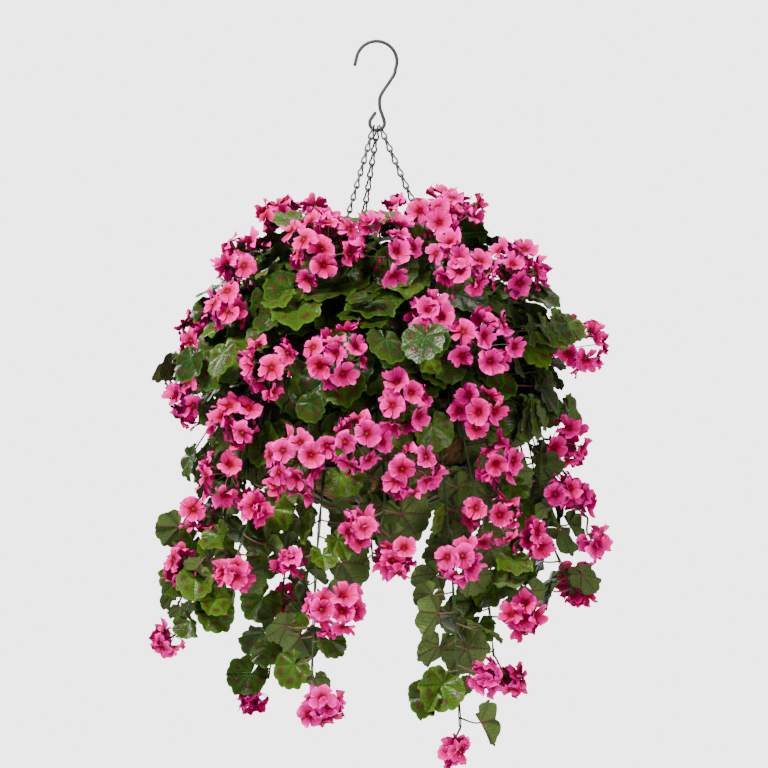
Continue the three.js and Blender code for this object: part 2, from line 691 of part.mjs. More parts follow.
// ---- Leaf and flower solids ----
// Outline of a kidney-shaped leaf about the end of its stalk: degrees from the tip, share of the radius
// there, and how far the edge lifts or drops. The last corner is the bottom of the notch.
const LEAF_OUTLINE = [
  [0, 1, 0.06], [27, 0.87, -0.1], [52, 1, 0.05], [78, 0.88, -0.1], [104, 1.02, 0.06], [150, 0.98, -0.06],
  [180, 0.2, 0],
  [-150, 0.98, -0.06], [-104, 1.02, 0.06], [-78, 0.88, -0.1], [-52, 1, 0.05], [-27, 0.87, -0.1],
];

// Distance from the joint to the leaf's round edge, at an angle from its tip.
function leafReach(degrees) {
  const a = rad(degrees);
  return 0.3 * Math.cos(a) + Math.sqrt(1 - (0.3 * Math.sin(a)) ** 2);
}

// A thin pleated blade, thickest at the joint, and its stalk down to a root inside what carries it.
function leafSolid({ joint, tip, normal, radius, root }) {
  const aside = normal.clone().cross(tip);
  const place = (x, y, z) => mix([joint, 1], [tip, x], [aside, y], [normal, z]);
  const corners = LEAF_OUTLINE.map(([degrees, share, lift]) => {
    const reach = radius * leafReach(degrees) * share;
    return place(reach * Math.cos(rad(degrees)), reach * Math.sin(rad(degrees)), lift * radius);
  });
  const count = corners.length;
  corners.push(place(0, 0, LEAF_THICKNESS / 2));
  const toRoot = root.clone().sub(joint);
  const ring = [60, 180, 300].map((a) => [STALK_RADIUS * Math.cos(rad(a)), STALK_RADIUS * Math.sin(rad(a))]);
  for (const [x, y] of ring) corners.push(place(x, y, -LEAF_THICKNESS / 2));
  const acrossRoot = tip.clone().projectOnPlane(toRoot.clone().normalize()).normalize();
  const overRoot = toRoot.clone().normalize().cross(acrossRoot).negate();
  const slim = STALK_ROOT_RADIUS / STALK_RADIUS;
  for (const [x, y] of ring) corners.push(mix([root, 1], [acrossRoot, x * slim], [overRoot, y * slim]));
  const triangles = [];
  const ringOf = (i) => {
    const degrees = (LEAF_OUTLINE[i % count][0] + 360) % 360;
    return degrees < 120 ? 0 : degrees < 240 ? 1 : 2;
  };
  const low = (j) => count + 1 + (j % 3);
  for (let i = 0; i < count; i++) {
    const next = (i + 1) % count;
    triangles.push([i, next, count], [next, i, low(ringOf(i))]);
    if (ringOf(next) !== ringOf(i)) triangles.push([next, low(ringOf(i)), low(ringOf(next))]);
  }
  for (let j = 0; j < 3; j++) {
    const [a, b] = [low(j), low(j + 1)];
    triangles.push([b, a, a + 3], [b, a + 3, b + 3]);
  }
  triangles.push([low(0) + 3, low(2) + 3, low(1) + 3]);
  return solid(facets(corners, triangles));
}

// A head is a twelve-sided core whose upper faces open into florets of five petals.
const FLORET_ORDER = [0, 1, 3, 5, 2, 4];

function headSolid({ centre, radius, florets, axis }) {
  const across = vec(axis.y, -axis.x, 0.01).projectOnPlane(axis).normalize();
  const over = axis.clone().cross(across);
  const at = (polarAngle, turn, reach) => {
    const flat = reach * Math.sin(rad(polarAngle));
    return mix(
      [centre, 1],
      [axis, reach * Math.cos(rad(polarAngle))],
      [across, flat * Math.cos(rad(turn))],
      [over, flat * Math.sin(rad(turn))],
    );
  };
  const core = radius * HEAD_CORE;
  const corners = [];
  for (const [polarAngle, offset] of [[37.38, 0], [79.19, 0], [100.81, 36], [142.62, 36]]) {
    for (let k = 0; k < 5; k++) corners.push(at(polarAngle, offset + 72 * k, core));
  }
  const wrap = (ring, k) => ring * 5 + ((k + 5) % 5);
  const faces = [[0, 1, 2, 3, 4]];
  for (let k = 0; k < 5; k++) {
    faces.push([wrap(0, k + 1), wrap(0, k), wrap(1, k), wrap(2, k), wrap(1, k + 1)]);
  }
  for (let k = 0; k < 5; k++) {
    faces.push([wrap(2, k), wrap(1, k), wrap(2, k - 1), wrap(3, k - 1), wrap(3, k)]);
  }
  faces.push([19, 18, 17, 16, 15]);
  const open = new Set(FLORET_ORDER.slice(0, florets));
  const triangles = [];
  faces.forEach((face, f) => {
    if (!open.has(f)) {
      for (let j = 1; j < 4; j++) triangles.push([face[0], face[j], face[j + 1]]);
      return;
    }
    const middle = face.reduce((sum, i) => sum.add(corners[i]), vec(0, 0, 0)).multiplyScalar(0.2);
    const out = middle.clone().sub(centre).normalize();
    const throat = corners.push(mix([centre, 1], [out, radius * 0.62])) - 1;
    face.forEach((one, j) => {
      const next = face[(j + 1) % 5];
      const spoke = mix([corners[one], 0.5], [corners[next], 0.5], [middle, -1]).normalize();
      const tip = corners.push(mix([centre, 1], [out, radius * 0.86], [spoke, radius * 0.5])) - 1;
      triangles.push([one, next, tip], [one, tip, throat], [tip, next, throat]);
    });
  });
  return solid(facets(corners, triangles));
}

// ---- Nodes ----
function coreSolid() {
  const profile = [
    [0, MEDIUM_TOP - TRUNK_DEPTH],
    [TRUNK_RADIUS, MEDIUM_TOP - TRUNK_DEPTH],
    [TRUNK_RADIUS, CORE_PROFILE[0][1]],
    ...CORE_PROFILE,
    [0, CORE_TOP],
  ];
  return solid(turned(profile, 12));
}

function crownFoliage() {
  const stalks = crownHeads.map(({ stalk }) => solid(wire(stalk, STALK_RADIUS, 3)));
  return mainBody(joined([coreSolid(), ...stalks, ...crownLeaves.map(leafSolid)]));
}

function trailingStem(trail) {
  const root = trail.path[0].clone().setZ(MEDIUM_TOP - STEM_ROOT_DEPTH);
  const stem = solid(wire([root, ...trail.path], STEM_RADIUS, 3));
  const stalks = trail.heads.map(({ root: start, centre, radius, axis }) => {
    const end = mix([centre, 1], [axis, -0.3 * radius]);
    return solid(wire([start, end], STALK_RADIUS, 3, STALK_ROOT_RADIUS));
  });
  return mainBody(joined([stem, ...stalks, ...trail.heads.map(headSolid), ...trail.leaves.map(leafSolid)]));
}

function finish(color, roughness, metalness = 0) {
  return new THREE.MeshStandardMaterial({ color, roughness, metalness });
}
const darkSteel = finish(0x2b2726, 0.45, 0.8);
const blackSteel = finish(0x17181a, 0.5, 0.6);
const coir = finish(0x7a5230, 0.95);
const foam = finish(0x2c2a1e, 0.95);
const leafGreen = finish(0x3f6a22, 0.55);
const petalPink = finish(0xf0468c, 0.6);

const basket = new THREE.Group();
function addNode(name, body, material) {
  const mesh = new THREE.Mesh(geometryOf(body), material);
  mesh.name = name;
  basket.add(mesh);
}

addNode("hook", solid(wire(hookPath(), HOOK_WIRE, 5)), darkSteel);
for (const [name, row] of Object.entries(CHAINS)) addNode(name, chain(row), darkSteel);
addNode("wire_basket", wireBasket(), blackSteel);
addNode("coco_liner", coconutLiner(), coir);
addNode("growing_medium", growingMedium(), foam);
addNode("crown_foliage", crownFoliage(), leafGreen);
crownHeads.forEach((head, index) => {
  addNode(`flower_head_${String(index + 1).padStart(2, "0")}`, headSolid(head), petalPink);
});
for (const trail of trails) addNode(trail.node, trailingStem(trail), leafGreen);

export default basket;
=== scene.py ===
# A hanging basket of trailing geraniums on its hook and chains. The plan of the plant is worked out in
# millimetres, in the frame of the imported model, and each mesh is made from it in metres.
import math

import bpy
import numpy as np
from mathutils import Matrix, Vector, noise


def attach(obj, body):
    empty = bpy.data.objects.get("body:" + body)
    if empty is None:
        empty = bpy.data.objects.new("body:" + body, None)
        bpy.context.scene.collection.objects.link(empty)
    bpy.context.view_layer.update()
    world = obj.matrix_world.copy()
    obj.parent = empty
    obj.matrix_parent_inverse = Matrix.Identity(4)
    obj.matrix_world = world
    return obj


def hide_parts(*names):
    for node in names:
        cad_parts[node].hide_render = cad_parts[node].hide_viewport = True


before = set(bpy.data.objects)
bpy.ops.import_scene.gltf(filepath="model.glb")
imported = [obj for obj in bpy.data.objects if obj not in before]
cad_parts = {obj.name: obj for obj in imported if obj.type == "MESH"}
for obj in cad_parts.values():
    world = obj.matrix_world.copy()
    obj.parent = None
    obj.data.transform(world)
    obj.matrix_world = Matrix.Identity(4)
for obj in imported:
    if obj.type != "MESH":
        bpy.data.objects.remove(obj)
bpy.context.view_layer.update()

# ---- Driving dimensions, in millimetres: those of the solids. A wire's size is its radius. ----
SEAT_GAP = 0.3
HOOK_WIRE = 1.8
CROOK_RADIUS = 27.5
EYE_RADIUS = 10
EYE_CENTRE = (0.8, -108.5)
LINK_WIRE = 0.95
LINK_PITCH = 18.3
LINK_HALF_WIDTH = 3.6
LINK_CROSSING = 0.9
CHAINS = {"chain_right": (-10, 5.4), "chain_left": (-130, -5.4), "chain_back": (110, 0)}
RIM_RADIUS = 175
RIM_HEIGHT = -492
BASKET_DEPTH = 142
BASKET_WIRE = 2.5
BASKET_SIDES = 20
RIB_COUNT = 10
BOWL_STEP = 22.5
LINER_STANDS_OFF = 3.5
LINER_THICKNESS = 8
LINER_TOP = -480
MEDIUM_TOP = -497
CORE_PROFILE = [(94, -496.7), (98, -462), (86, -408), (64, -356), (36, -318)]
CROWN_CENTRE = -430
CROWN_RADIUS = 250
CROWN_RISE = 222
STEM_RADIUS = 2.8
STALK_RADIUS = 1.7
STEM_ROOT_RADIUS = 138
STEM_ROOT_DEPTH = 36
HEAD_CORE = 0.5
LEAF_RADIUS = 36
LEAF_CLEARANCE = 6
HEAD_CLEARANCE = 3
CROWN_LEAVES = 104
CROWN_HEADS_BEHIND = 13
ARCH_POINTS = 4
TRAIL_STEPS = 6
HEAD_TRIES = 12  # places tried for a head on a trailing stem
LEAF_TRIES = 28  # for a leaf on a trailing stem
CROWN_TRIES = 24  # for a leaf of the crown
GOLDEN_ANGLE = 137.508  # degrees from one leaf or floret to the next, which spreads them evenly
GOLDEN_SHARE = 0.618  # of a band's height, from one leaf to the next

# The wires as they are drawn: the hook as wide as it measures in the photo, and the links widened,
# because the bright background eats into thin wires.
DRAWN_HOOK_WIRE = HOOK_WIRE + 0.45
DRAWN_LINK_WIRE = 1.3
HOOP_WIRE = 2.3
RIB_WIRE = 2.1

# Flower heads on the front of the crown: across, height, depth in front of the crown, radius.
CROWN_HEADS = [
    (-133, -235, -20, 33), (-182, -298, 0, 34), (-74, -281, 0, 46), (17, -282, 0, 41), (88, -240, 0, 37),
    (108, -309, 10, 39), (184, -311, 0, 39), (-196, -359, 0, 32), (70, -374, -25, 33), (142, -406, 0, 41),
    (266, -408, 0, 41), (-139, -438, 0, 36), (-52, -424, 0, 38), (-250, -483, 0, 37), (-186, -509, 0, 35),
    (34, -487, 0, 34), (131, -493, 0, 31), (-106, -566, 0, 37), (-29, -541, 0, 38), (-203, -584, 0, 32),
    (158, -560, 0, 33), (251, -539, 0, 35), (47, -577, 0, 33), (148, -638, 0, 35),
]

# Trailing stems: azimuth, reach and height of the tip, sway, leaves, heads as (share, side, radius).
TRAILS = [
    (-153, 292, -772, 4, 6, [(0.4, 1, 31), (0.7, -1, 29), (1, -1, 29)]),
    (-141, 248, -704, 3, 4, [(0.5, 1, 30), (0.97, 1, 30)]),
    (-108, 262, -849, -2, 6, [(0.5, -1, 30), (0.67, 1, 38), (1, 1, 33)]),
    (-90, 236, -656, 3, 4, [(0.8, -1, 34), (1, 1, 32)]),
    (-66, 262, -909, 2, 8, [(0.42, 1, 33), (0.8, 1, 31), (1, -1, 29)]),
    (-43, 268, -735, -2, 5, [(0.62, 1, 32), (1, -1, 30)]),
    (-18, 292, -638, 3, 4, [(0.55, -1, 30), (0.6, 1, 32), (1, -1, 30)]),
    (18, 284, -745, 2, 5, [(0.9, 1, 31)]),
    (54, 268, -838, -3, 6, [(0.62, 1, 31), (1, -1, 29)]),
    (90, 260, -705, 3, 4, [(0.95, -1, 31)]),
    (126, 262, -866, -3, 6, [(0.66, -1, 31), (1, 1, 29)]),
    (162, 284, -765, 2, 5, [(0.75, -1, 31)]),
]

# ---- Small vector helpers ----
UP = np.array([0.0, 0.0, 1.0])


def vec(x, y, z):
    return np.array([x, y, z], float)


def polar(radius, degrees, z):
    a = math.radians(degrees)
    return vec(radius * math.cos(a), radius * math.sin(a), z)


def size_of(v):
    return math.sqrt(v[0] * v[0] + v[1] * v[1] + v[2] * v[2])


def unit(v):
    length = size_of(v)
    return v / length if length else v


def direction(*parts):
    """The way of a sum of vectors, each with its share."""
    return unit(sum(v * share for v, share in parts))


def between(one, other, angle):
    """The way at an angle in radians from one way towards another at a right angle to it."""
    return one * math.cos(angle) + other * math.sin(angle)


def off_plane(v, normal):
    """The part of v that lies in the plane across normal."""
    return v - normal * (v @ normal / (normal @ normal))


def outward(point):
    return unit(vec(point[0], point[1], 0))


def around(point):
    """The ways outward and sideways at a point, seen from the plant's axis."""
    out = outward(point)
    return out, np.cross(UP, out)


def swung(out, aside, swing, rise):
    """A way at an angle in radians from outward, with some rise."""
    return direction((out, math.cos(swing)), (aside, math.sin(swing)), (UP, rise))


def axis_distance(point):
    return math.hypot(point[0], point[1])


def azimuth_of(point):
    return math.degrees(math.atan2(point[1], point[0]))


def unit_rows(v):
    return v / np.linalg.norm(v, axis=1)[:, None]


class Draw:
    """A repeatable random draw between 0 and 1."""

    def __init__(self, seed):
        self.state = seed

    def __call__(self, low=0.0, high=1.0):
        self.state = (self.state * 1664525 + 1013904223) % 4294967296
        return low + (high - low) * (self.state / 4294967296)


draw = Draw(20417)

# ---- The plan: stems, heads and leaves that keep clear of one another, as the solids do ----
balls = []  # flower heads
rods = []  # chains, stems and stalks
discs = []  # leaves


def on_segment(point, a, b):
    along = b - a
    share = min(1, max(0, (point - a) @ along / (along @ along)))
    return a + along * share


def rod_to_rod(one, other):
    least = math.inf
    for i in range(9):
        point = one["a"] + (one["b"] - one["a"]) * (i / 8)
        least = min(least, size_of(point - on_segment(point, other["a"], other["b"])))
    return least - one["radius"] - other["radius"]


def ball_to_rod(ball, one):
    nearest = on_segment(ball["centre"], one["a"], one["b"])
    return size_of(ball["centre"] - nearest) - ball["radius"] - one["radius"]


def point_to_disc(point, disc):
    out = point - disc["centre"]
    height = out @ disc["normal"]
    wide = math.sqrt(max(0, out @ out - height * height))
    return math.hypot(height, max(0, wide - disc["radius"]))


def points_to_disc(points, disc):
    out = points - disc["centre"]
    height = out @ disc["normal"]
    wide = np.sqrt(np.maximum(0, (out * out).sum(1) - height * height))
    return np.hypot(height, np.maximum(0, wide - disc["radius"])).min()


def rod_to_disc(one, disc):
    least, before, side_before = math.inf, None, 0
    for i in range(11):
        point = one["a"] + (one["b"] - one["a"]) * (i / 10)
        least = min(least, point_to_disc(point, disc))
        out = point - disc["centre"]
        side = np.sign(out @ disc["normal"])
        if before is not None and side_before != side and size_of(out) < disc["radius"] + 12:
            if size_of((point + before) / 2 - disc["centre"]) < disc["radius"]:
                return -1
        before, side_before = point, side
    return least - one["radius"]


def disc_points(disc):
    """Points on a disc: its middle and two rings."""
    one, other = disc["tip"], np.cross(disc["normal"], disc["tip"])
    points = [disc["centre"]]
    for share, count in ((0.5, 5), (1, 9)):
        reach = disc["radius"] * share
        for i in range(count):
            a = 2 * math.pi * i / count
            points.append(disc["centre"] + one * (reach * math.cos(a)) + other * (reach * math.sin(a)))
    return np.array(points)


def discs_cross(one, other):
    line = np.cross(one["normal"], other["normal"])
    if size_of(line) < 0.05:
        return False
    line = unit(line)
    to_line = np.cross(line, one["normal"])
    step = (other["centre"] - one["centre"]) @ other["normal"] / (to_line @ other["normal"])
    foot = one["centre"] + to_line * step
    along = (other["centre"] - foot) @ line
    off = size_of(other["centre"] - foot - line * along)
    if abs(step) > one["radius"] or off > other["radius"]:
        return False
    halves = math.sqrt(one["radius"] ** 2 - step**2) + math.sqrt(other["radius"] ** 2 - off**2)
    return abs(along) < halves


def disc_to_disc(one, other):
    if discs_cross(one, other):
        return -1
    return min(points_to_disc(disc_points(one), other), points_to_disc(disc_points(other), one))


def ball_is_clear(ball, node=None):
    centre, reach = ball["centre"], ball["radius"] + HEAD_CLEARANCE
    return (
        all(size_of(b["centre"] - centre) > b["radius"] + reach for b in balls)
        and all(r["node"] == node or ball_to_rod(ball, r) > HEAD_CLEARANCE for r in rods)
        and all(point_to_disc(centre, d) > reach for d in discs)
    )


def outside_basket(point):
    """How far a point stands outside the basket and what sits on its rim."""
    radius = axis_distance(point)
    if point[2] > LINER_TOP:
        return max(point[2] - LINER_TOP, radius - RIM_RADIUS)
    if point[2] > RIM_HEIGHT:
        return radius - RIM_RADIUS
    return (math.hypot(radius / RIM_RADIUS, (point[2] - RIM_HEIGHT) / BASKET_DEPTH) - 1) * BASKET_DEPTH


def keeps_off_basket(point, gap):
    inside = point[2] > MEDIUM_TOP + gap and axis_distance(point) < RIM_RADIUS - 16 - gap
    return inside or outside_basket(point) > gap


def rod_is_clear(one, node):
    places = [one["a"] + (one["b"] - one["a"]) * share for share in (0, 0.2, 0.4, 0.6, 0.8, 1)]
    return (
        all(keeps_off_basket(place, one["radius"] + HEAD_CLEARANCE) for place in places)
        and all(b is one.get("head") or ball_to_rod(b, one) > HEAD_CLEARANCE for b in balls)
        and all(r["node"] == node or rod_to_rod(one, r) > HEAD_CLEARANCE for r in rods)
        and all(d["node"] == node or rod_to_disc(one, d) > LEAF_CLEARANCE for d in discs)
    )


def near_rods(centre, reach):
    """The rods that pass within reach of a point."""
    a = np.array([r["a"] for r in rods])
    along = np.array([r["b"] for r in rods]) - a
    share = np.clip(((centre - a) * along).sum(1) / (along * along).sum(1), 0, 1)
    gap = np.linalg.norm(a + along * share[:, None] - centre, axis=1)
    return [rods[i] for i in np.flatnonzero(gap < reach)]


def disc_is_clear(disc, leaf_gap=LEAF_CLEARANCE, own_gap=1.5, basket_gap=8):
    centre, radius = disc["centre"], disc["radius"]
    for b in balls:
        if size_of(b["centre"] - centre) < radius + b["radius"] + 10:
            if point_to_disc(b["centre"], disc) <= b["radius"] + HEAD_CLEARANCE + 2:
                return False
    if any(outside_basket(point) <= basket_gap for point in disc_points(disc)):
        return False
    for r in near_rods(centre, radius + 12):
        if rod_to_disc(r, disc) <= (own_gap if r["node"] == disc["node"] else leaf_gap):
            return False
    near = [d for d in discs if size_of(d["centre"] - centre) < radius + d["radius"] + 10]
    return all(disc_to_disc(disc, d) > leaf_gap for d in near)


def crown_radius(z):
    if z <= CROWN_CENTRE:
        return CROWN_RADIUS
    return CROWN_RADIUS * math.sqrt(max(0.02, 1 - ((z - CROWN_CENTRE) / CROWN_RISE) ** 2))


def core_radius(z):
    radii, heights = zip(*CORE_PROFILE)
    return float(np.interp(z, heights, radii))


def core_root(place, drop):
    """Where a stalk that serves a place on the crown leaves the core."""
    z = min(-322, max(-468, place[2] - drop))
    root = outward(place) * (core_radius(z) - 9)
    root[2] = z
    return root


def stalk_rod(a, b, node, **extra):
    return {"a": a, "b": b, "radius": STALK_RADIUS, "node": node, **extra}


def segments(points, **extra):
    return [{"a": a, "b": b, **extra} for a, b in zip(points, points[1:])]


def hanging_point(points, share):
    """A point on a trailing stem at a share of its way from below the rim to its tip."""
    step = ARCH_POINTS + min(share, 0.9999) * TRAIL_STEPS
    low = points[math.floor(step)]
    return low + (points[math.floor(step) + 1] - low) * (step % 1)


def rim_radius_at(azimuth):
    facet = 360 / BASKET_SIDES
    offset = azimuth - facet * (math.floor(azimuth / facet) + 0.5)
    return RIM_RADIUS * math.cos(math.radians(facet / 2)) / math.cos(math.radians(offset))


def chain_ends(azimuth, side):
    lift = EYE_RADIUS - math.sqrt(EYE_RADIUS**2 - side**2)
    top = vec(EYE_CENTRE[0] + side, 0, EYE_CENTRE[1] - EYE_RADIUS + lift)
    bottom = polar(rim_radius_at(azimuth), azimuth, RIM_HEIGHT)
    down = unit(bottom - top)
    reach = [LINK_CROSSING + (wire + SEAT_GAP + 0.2) / 0.66 for wire in (HOOK_WIRE, BASKET_WIRE)]
    return top - down * reach[0], bottom + down * reach[1], down


for azimuth, side in CHAINS.values():
    top, bottom, _ = chain_ends(azimuth, side)
    points = [top + (bottom - top) * (i / 10) for i in range(11)]
    rods.extend(segments(points, radius=LINK_HALF_WIDTH + LINK_WIRE, node="chain"))


def catmull_rom(points, t):
    """A point of a centripetal Catmull-Rom curve through points."""
    place = (len(points) - 1) * t
    i = min(math.floor(place), len(points) - 2)
    weight = place - i
    p1, p2 = points[i], points[i + 1]
    p0 = points[i - 1] if i else 2 * p1 - p2
    p3 = points[i + 2] if i + 2 < len(points) else 2 * p2 - p1
    d0, d1, d2 = (((b - a) @ (b - a)) ** 0.25 for a, b in ((p0, p1), (p1, p2), (p2, p3)))
    t1 = ((p1 - p0) / d0 - (p2 - p0) / (d0 + d1) + (p2 - p1) / d1) * d1
    t2 = ((p2 - p1) / d1 - (p3 - p1) / (d1 + d2) + (p3 - p2) / d2) * d1
    cubic = 2 * p1 - 2 * p2 + t1 + t2
    return p1 + t1 * weight + (-3 * p1 + 3 * p2 - 2 * t1 - t2) * weight**2 + cubic * weight**3


def through(points, count):
    """A smooth line through points."""
    return np.array([catmull_rom(points, i / count) for i in range(count + 1)])


def evenly_along(points, count, samples=200):
    """count + 1 points, evenly spaced along the curve through points."""
    steps = np.diff(through(points, samples), axis=0)
    lengths = np.concatenate([[0], np.cumsum(np.linalg.norm(steps, axis=1))])
    shares = np.interp(np.linspace(0, lengths[-1], count + 1), lengths, np.linspace(0, 1, samples + 1))
    return [catmull_rom(points, t) for t in shares]


def trail_path(azimuth, reach, tip, sway):
    arch = [
        polar(STEM_ROOT_RADIUS, azimuth, MEDIUM_TOP + 4),
        polar(STEM_ROOT_RADIUS + 10, azimuth, LINER_TOP + 9),
        polar(RIM_RADIUS - 5, azimuth, LINER_TOP + 15),
        polar(RIM_RADIUS + 15, azimuth, LINER_TOP + 3),
    ]
    middle = (RIM_RADIUS + 24 + reach) / 2
    hanging = [
        polar(RIM_RADIUS + 23, azimuth + sway * 0.3, LINER_TOP - 36),
        polar(middle, azimuth + sway, (LINER_TOP - 70 + tip) / 2),
        polar(reach, azimuth + sway * 0.4, tip),
    ]
    return arch + evenly_along(hanging, TRAIL_STEPS)


trails = []
for index, (azimuth, reach, tip, sway, leaf_count, head_rows) in enumerate(TRAILS, 1):
    trail = {"node": f"trailing_stem_{index:02d}", "path": trail_path(azimuth, reach, tip, sway)}
    rods.extend(segments(trail["path"], radius=STEM_RADIUS, node=trail["node"]))
    trail.update(leaf_count=leaf_count, rows=head_rows, heads=[], leaves=[], extra=[])
    trails.append(trail)


def settle(head):
    """Moves a head outwards, 3 mm at a time, away from what is in its way."""
    out = outward(head["centre"])
    for _ in range(12):
        if ball_is_clear(head):
            return True
        head["centre"] = head["centre"] + out * 3
    return False


crown_heads = []


def place_crown_head(centre, radius):
    axis = direction((outward(centre), 0.85), (UP, (centre[2] + 500) / 260))
    head = {"centre": centre, "radius": radius, "axis": axis}
    if settle(head):
        balls.append(head)
        crown_heads.append(head)


for x, z, forward, radius in CROWN_HEADS:
    y = -math.sqrt(max(0, crown_radius(z) ** 2 - x * x)) - forward
    place_crown_head(vec(x, y, z), radius)
for i in range(CROWN_HEADS_BEHIND):
    z = -228 - (i % 5) * 76 - draw() * 24
    azimuth = 2 + ((i + 0.5) * 172) / CROWN_HEADS_BEHIND + (draw() - 0.5) * 8
    radius = 32 + draw() * 9
    place_crown_head(polar(crown_radius(z) * 0.98, azimuth, z), radius)


def stalk_path(head, drop, shift):
    """The stalk of a crown head, which bends over the rim if the head is low."""
    centre = head["centre"]
    ends = [centre - head["axis"] * (0.795 * HEAD_CORE * head["radius"] + gap) for gap in (12, SEAT_GAP)]
    if centre[2] > LINER_TOP:
        root, a = core_root(centre, drop), math.radians(shift)
        turned = root[0] * math.cos(a) - root[1] * math.sin(a), root[0] * math.sin(a) + root[1] * math.cos(a)
        return [vec(*turned, root[2]), *ends]
    knee = polar(RIM_RADIUS + 14, azimuth_of(centre) + shift, LINER_TOP + 16)
    return [core_root(vec(centre[0], centre[1], -395), drop), knee, *ends]


for head in crown_heads:
    shifts = (0, 25, -25, 50, -50) if head["centre"][2] > LINER_TOP else (0, 5, -5, 10, -10, 16, -16)
    for drop, shift in [(d, s) for d in (40, 20, 70, 0, 100, -30, 130, -60, 160, -90) for s in shifts]:
        head["stalk"] = stalk_path(head, drop, shift)
        stalk_rods = segments(head["stalk"], radius=STALK_RADIUS, node="crown_foliage", head=head)
        if all(rod_is_clear(one, "crown_foliage") for one in stalk_rods):
            break
    rods.extend(stalk_rods)

for trail in trails:
    for share, side, radius in trail["rows"]:
        start = hanging_point(trail["path"], share)
        out, aside = around(start)
        fall = 1.3 if share == 1 else 0.35
        for turn in range(HEAD_TRIES):
            swing = math.radians(side * (50 + (-1 if turn % 2 else 1) * math.ceil(turn / 2) * 28))
            away = swung(out, aside, swing, -fall)
            centre = start + away * (radius * 1.25 + 8)
            axis = direction((away, 1), (out, 0.5))
            head = {"centre": centre, "radius": radius, "axis": axis, "root": start}
            stalk = stalk_rod(start, centre, trail["node"], head=head)
            if ball_is_clear(head, trail["node"]) and rod_is_clear(stalk, trail["node"]):
                balls.append(head)
                trail["heads"].append(head)
                rods.append(stalk)
                break


def leaf_at(joint, tip, facing, radius, node="added"):
    """A leaf hangs on a stalk that meets it at the bottom of its notch."""
    normal = unit(off_plane(facing, tip))
    centre = joint + tip * (0.3 * radius)
    return {"joint": joint, "tip": tip, "normal": normal, "centre": centre, "radius": radius, "node": node}


for trail in trails:
    count = trail["leaf_count"]
    for i in range(count):
        share = 0.92 * (i + 0.4) / count
        size = LEAF_RADIUS * (0.84 + 0.3 * draw() + (0.12 if i < 2 else 0))
        lean = draw()
        shown = -1 if draw() < 0.7 else 1
        start = hanging_point(trail["path"], share)
        out, aside = around(start)
        for turn in range(LEAF_TRIES):
            side = 1 if (i + turn) % 2 else -1
            radius = size * (1 if turn < LEAF_TRIES / 2 else 0.84)
            spread = 24 * math.floor((turn % 14) / 2) * (1 if turn % 4 < 2 else -1)
            swing = math.radians(side * (62 + 16 * lean + spread))
            away = swung(out, aside, swing, 0.1 - 0.3 * lean)
            joint = start + away * (24 + 8 * lean) + out * (shown * 4)
            tip = direction((away, 0.8), (UP, -0.55 - 0.5 * lean))
            leaf = leaf_at(joint, tip, direction((out, shown), (UP, 0.5)), radius, trail["node"])
            stalk = stalk_rod(start, joint, trail["node"])
            if disc_is_clear(leaf) and rod_is_clear(stalk, trail["node"]):
                discs.append(leaf)
                rods.append(stalk)
                trail["leaves"].append({**leaf, "root": start})
                break


def steepness(z):
    """How far the leaves at a height turn up, from 0 on the crown's flank to 0.9 on its top."""
    return min(0.9, max(0, (z - CROWN_CENTRE + 60) / CROWN_RISE))


def try_crown_leaf(azimuth, z, inward, size, turned, tilted):
    """A leaf of the crown at a place, or None where there is no room."""
    joint = polar(max(20, crown_radius(z) - 20 - inward), azimuth, z - inward * 0.25)
    out = polar(1, azimuth, 0)
    aside = np.cross(UP, out)
    steep = steepness(z)
    tip = direction((out, 0.35 + steep), (UP, -0.75 + steep * 0.5), (aside, (turned - 0.5) * 1.2))
    facing = direction((out, 1 - 0.5 * steep), (UP, 0.55 + steep), (aside, (tilted - 0.5) * 0.7))
    leaf = leaf_at(joint, tip, facing, size, "crown_foliage")
    root = core_root(joint, 40 if joint[2] > -440 else -30)
    stalk = stalk_rod(root, joint - leaf["normal"] * 3, "crown_foliage")
    if not disc_is_clear(leaf) or not rod_is_clear(stalk, "crown_foliage"):
        return None
    discs.append(leaf)
    rods.append(stalk)
    return {**leaf, "root": root}


crown_leaves = []
for i in range(CROWN_LEAVES):
    share = (i + 0.5) / CROWN_LEAVES
    z = -216 - 298 * share**0.76
    turned, tilted, size_draw = draw(), draw(), draw()
    azimuth = (i * GOLDEN_ANGLE + (turned - 0.5) * 10) % 360
    size = LEAF_RADIUS * (0.84 + 0.34 * size_draw)
    for attempt in range(CROWN_TRIES):
        shift = (0, 9, -9)[attempt // 8]
        leaf = try_crown_leaf(azimuth + shift, z, (attempt % 8) * 9, size, turned, tilted)
        if leaf:
            crown_leaves.append(leaf)
            break

# ---- Leaves that the solids leave out: between the others, over the basket's wall and along the stems ----
SKIRT_LEAVES = 200  # places that the rules try, some of which have no room
FILLER_LEAVES = 520
FLANK_LEAVES = 110
DEEP_LEAVES = 410
TOP_LEAVES = 70
WALL_LEAVES = 230
LEAVES_BEHIND_HEAD = 9
EXTRA_TRAIL_LEAVES = 8  # on each stem, besides as many as are planned
EXTRA_TRIES = 24  # places tried for each of them
DIP_RADIUS, DIP_HEIGHT = 115, -238  # the dip in which the chains go into the crown

vary = Draw(977)


def any_way():
    return vec(vary(-1, 1), vary(-1, 1), vary(-1, 1))


def crowds_chains(leaf):
    return axis_distance(leaf["centre"]) < DIP_RADIUS and disc_points(leaf)[:, 2].max() > DIP_HEIGHT


def touches_basket(leaf):
    return any(outside_basket(point) <= 3 for point in disc_points(leaf))


def clear_of_heads(leaf, gap=2):
    return all(point_to_disc(b["centre"], leaf) > b["radius"] + gap for b in balls)


def fits_between(leaf):
    """Whether a leaf keeps clear of all that the plan holds so far."""
    return disc_is_clear(leaf, leaf_gap=1.0, own_gap=1.0, basket_gap=4) and not crowds_chains(leaf)


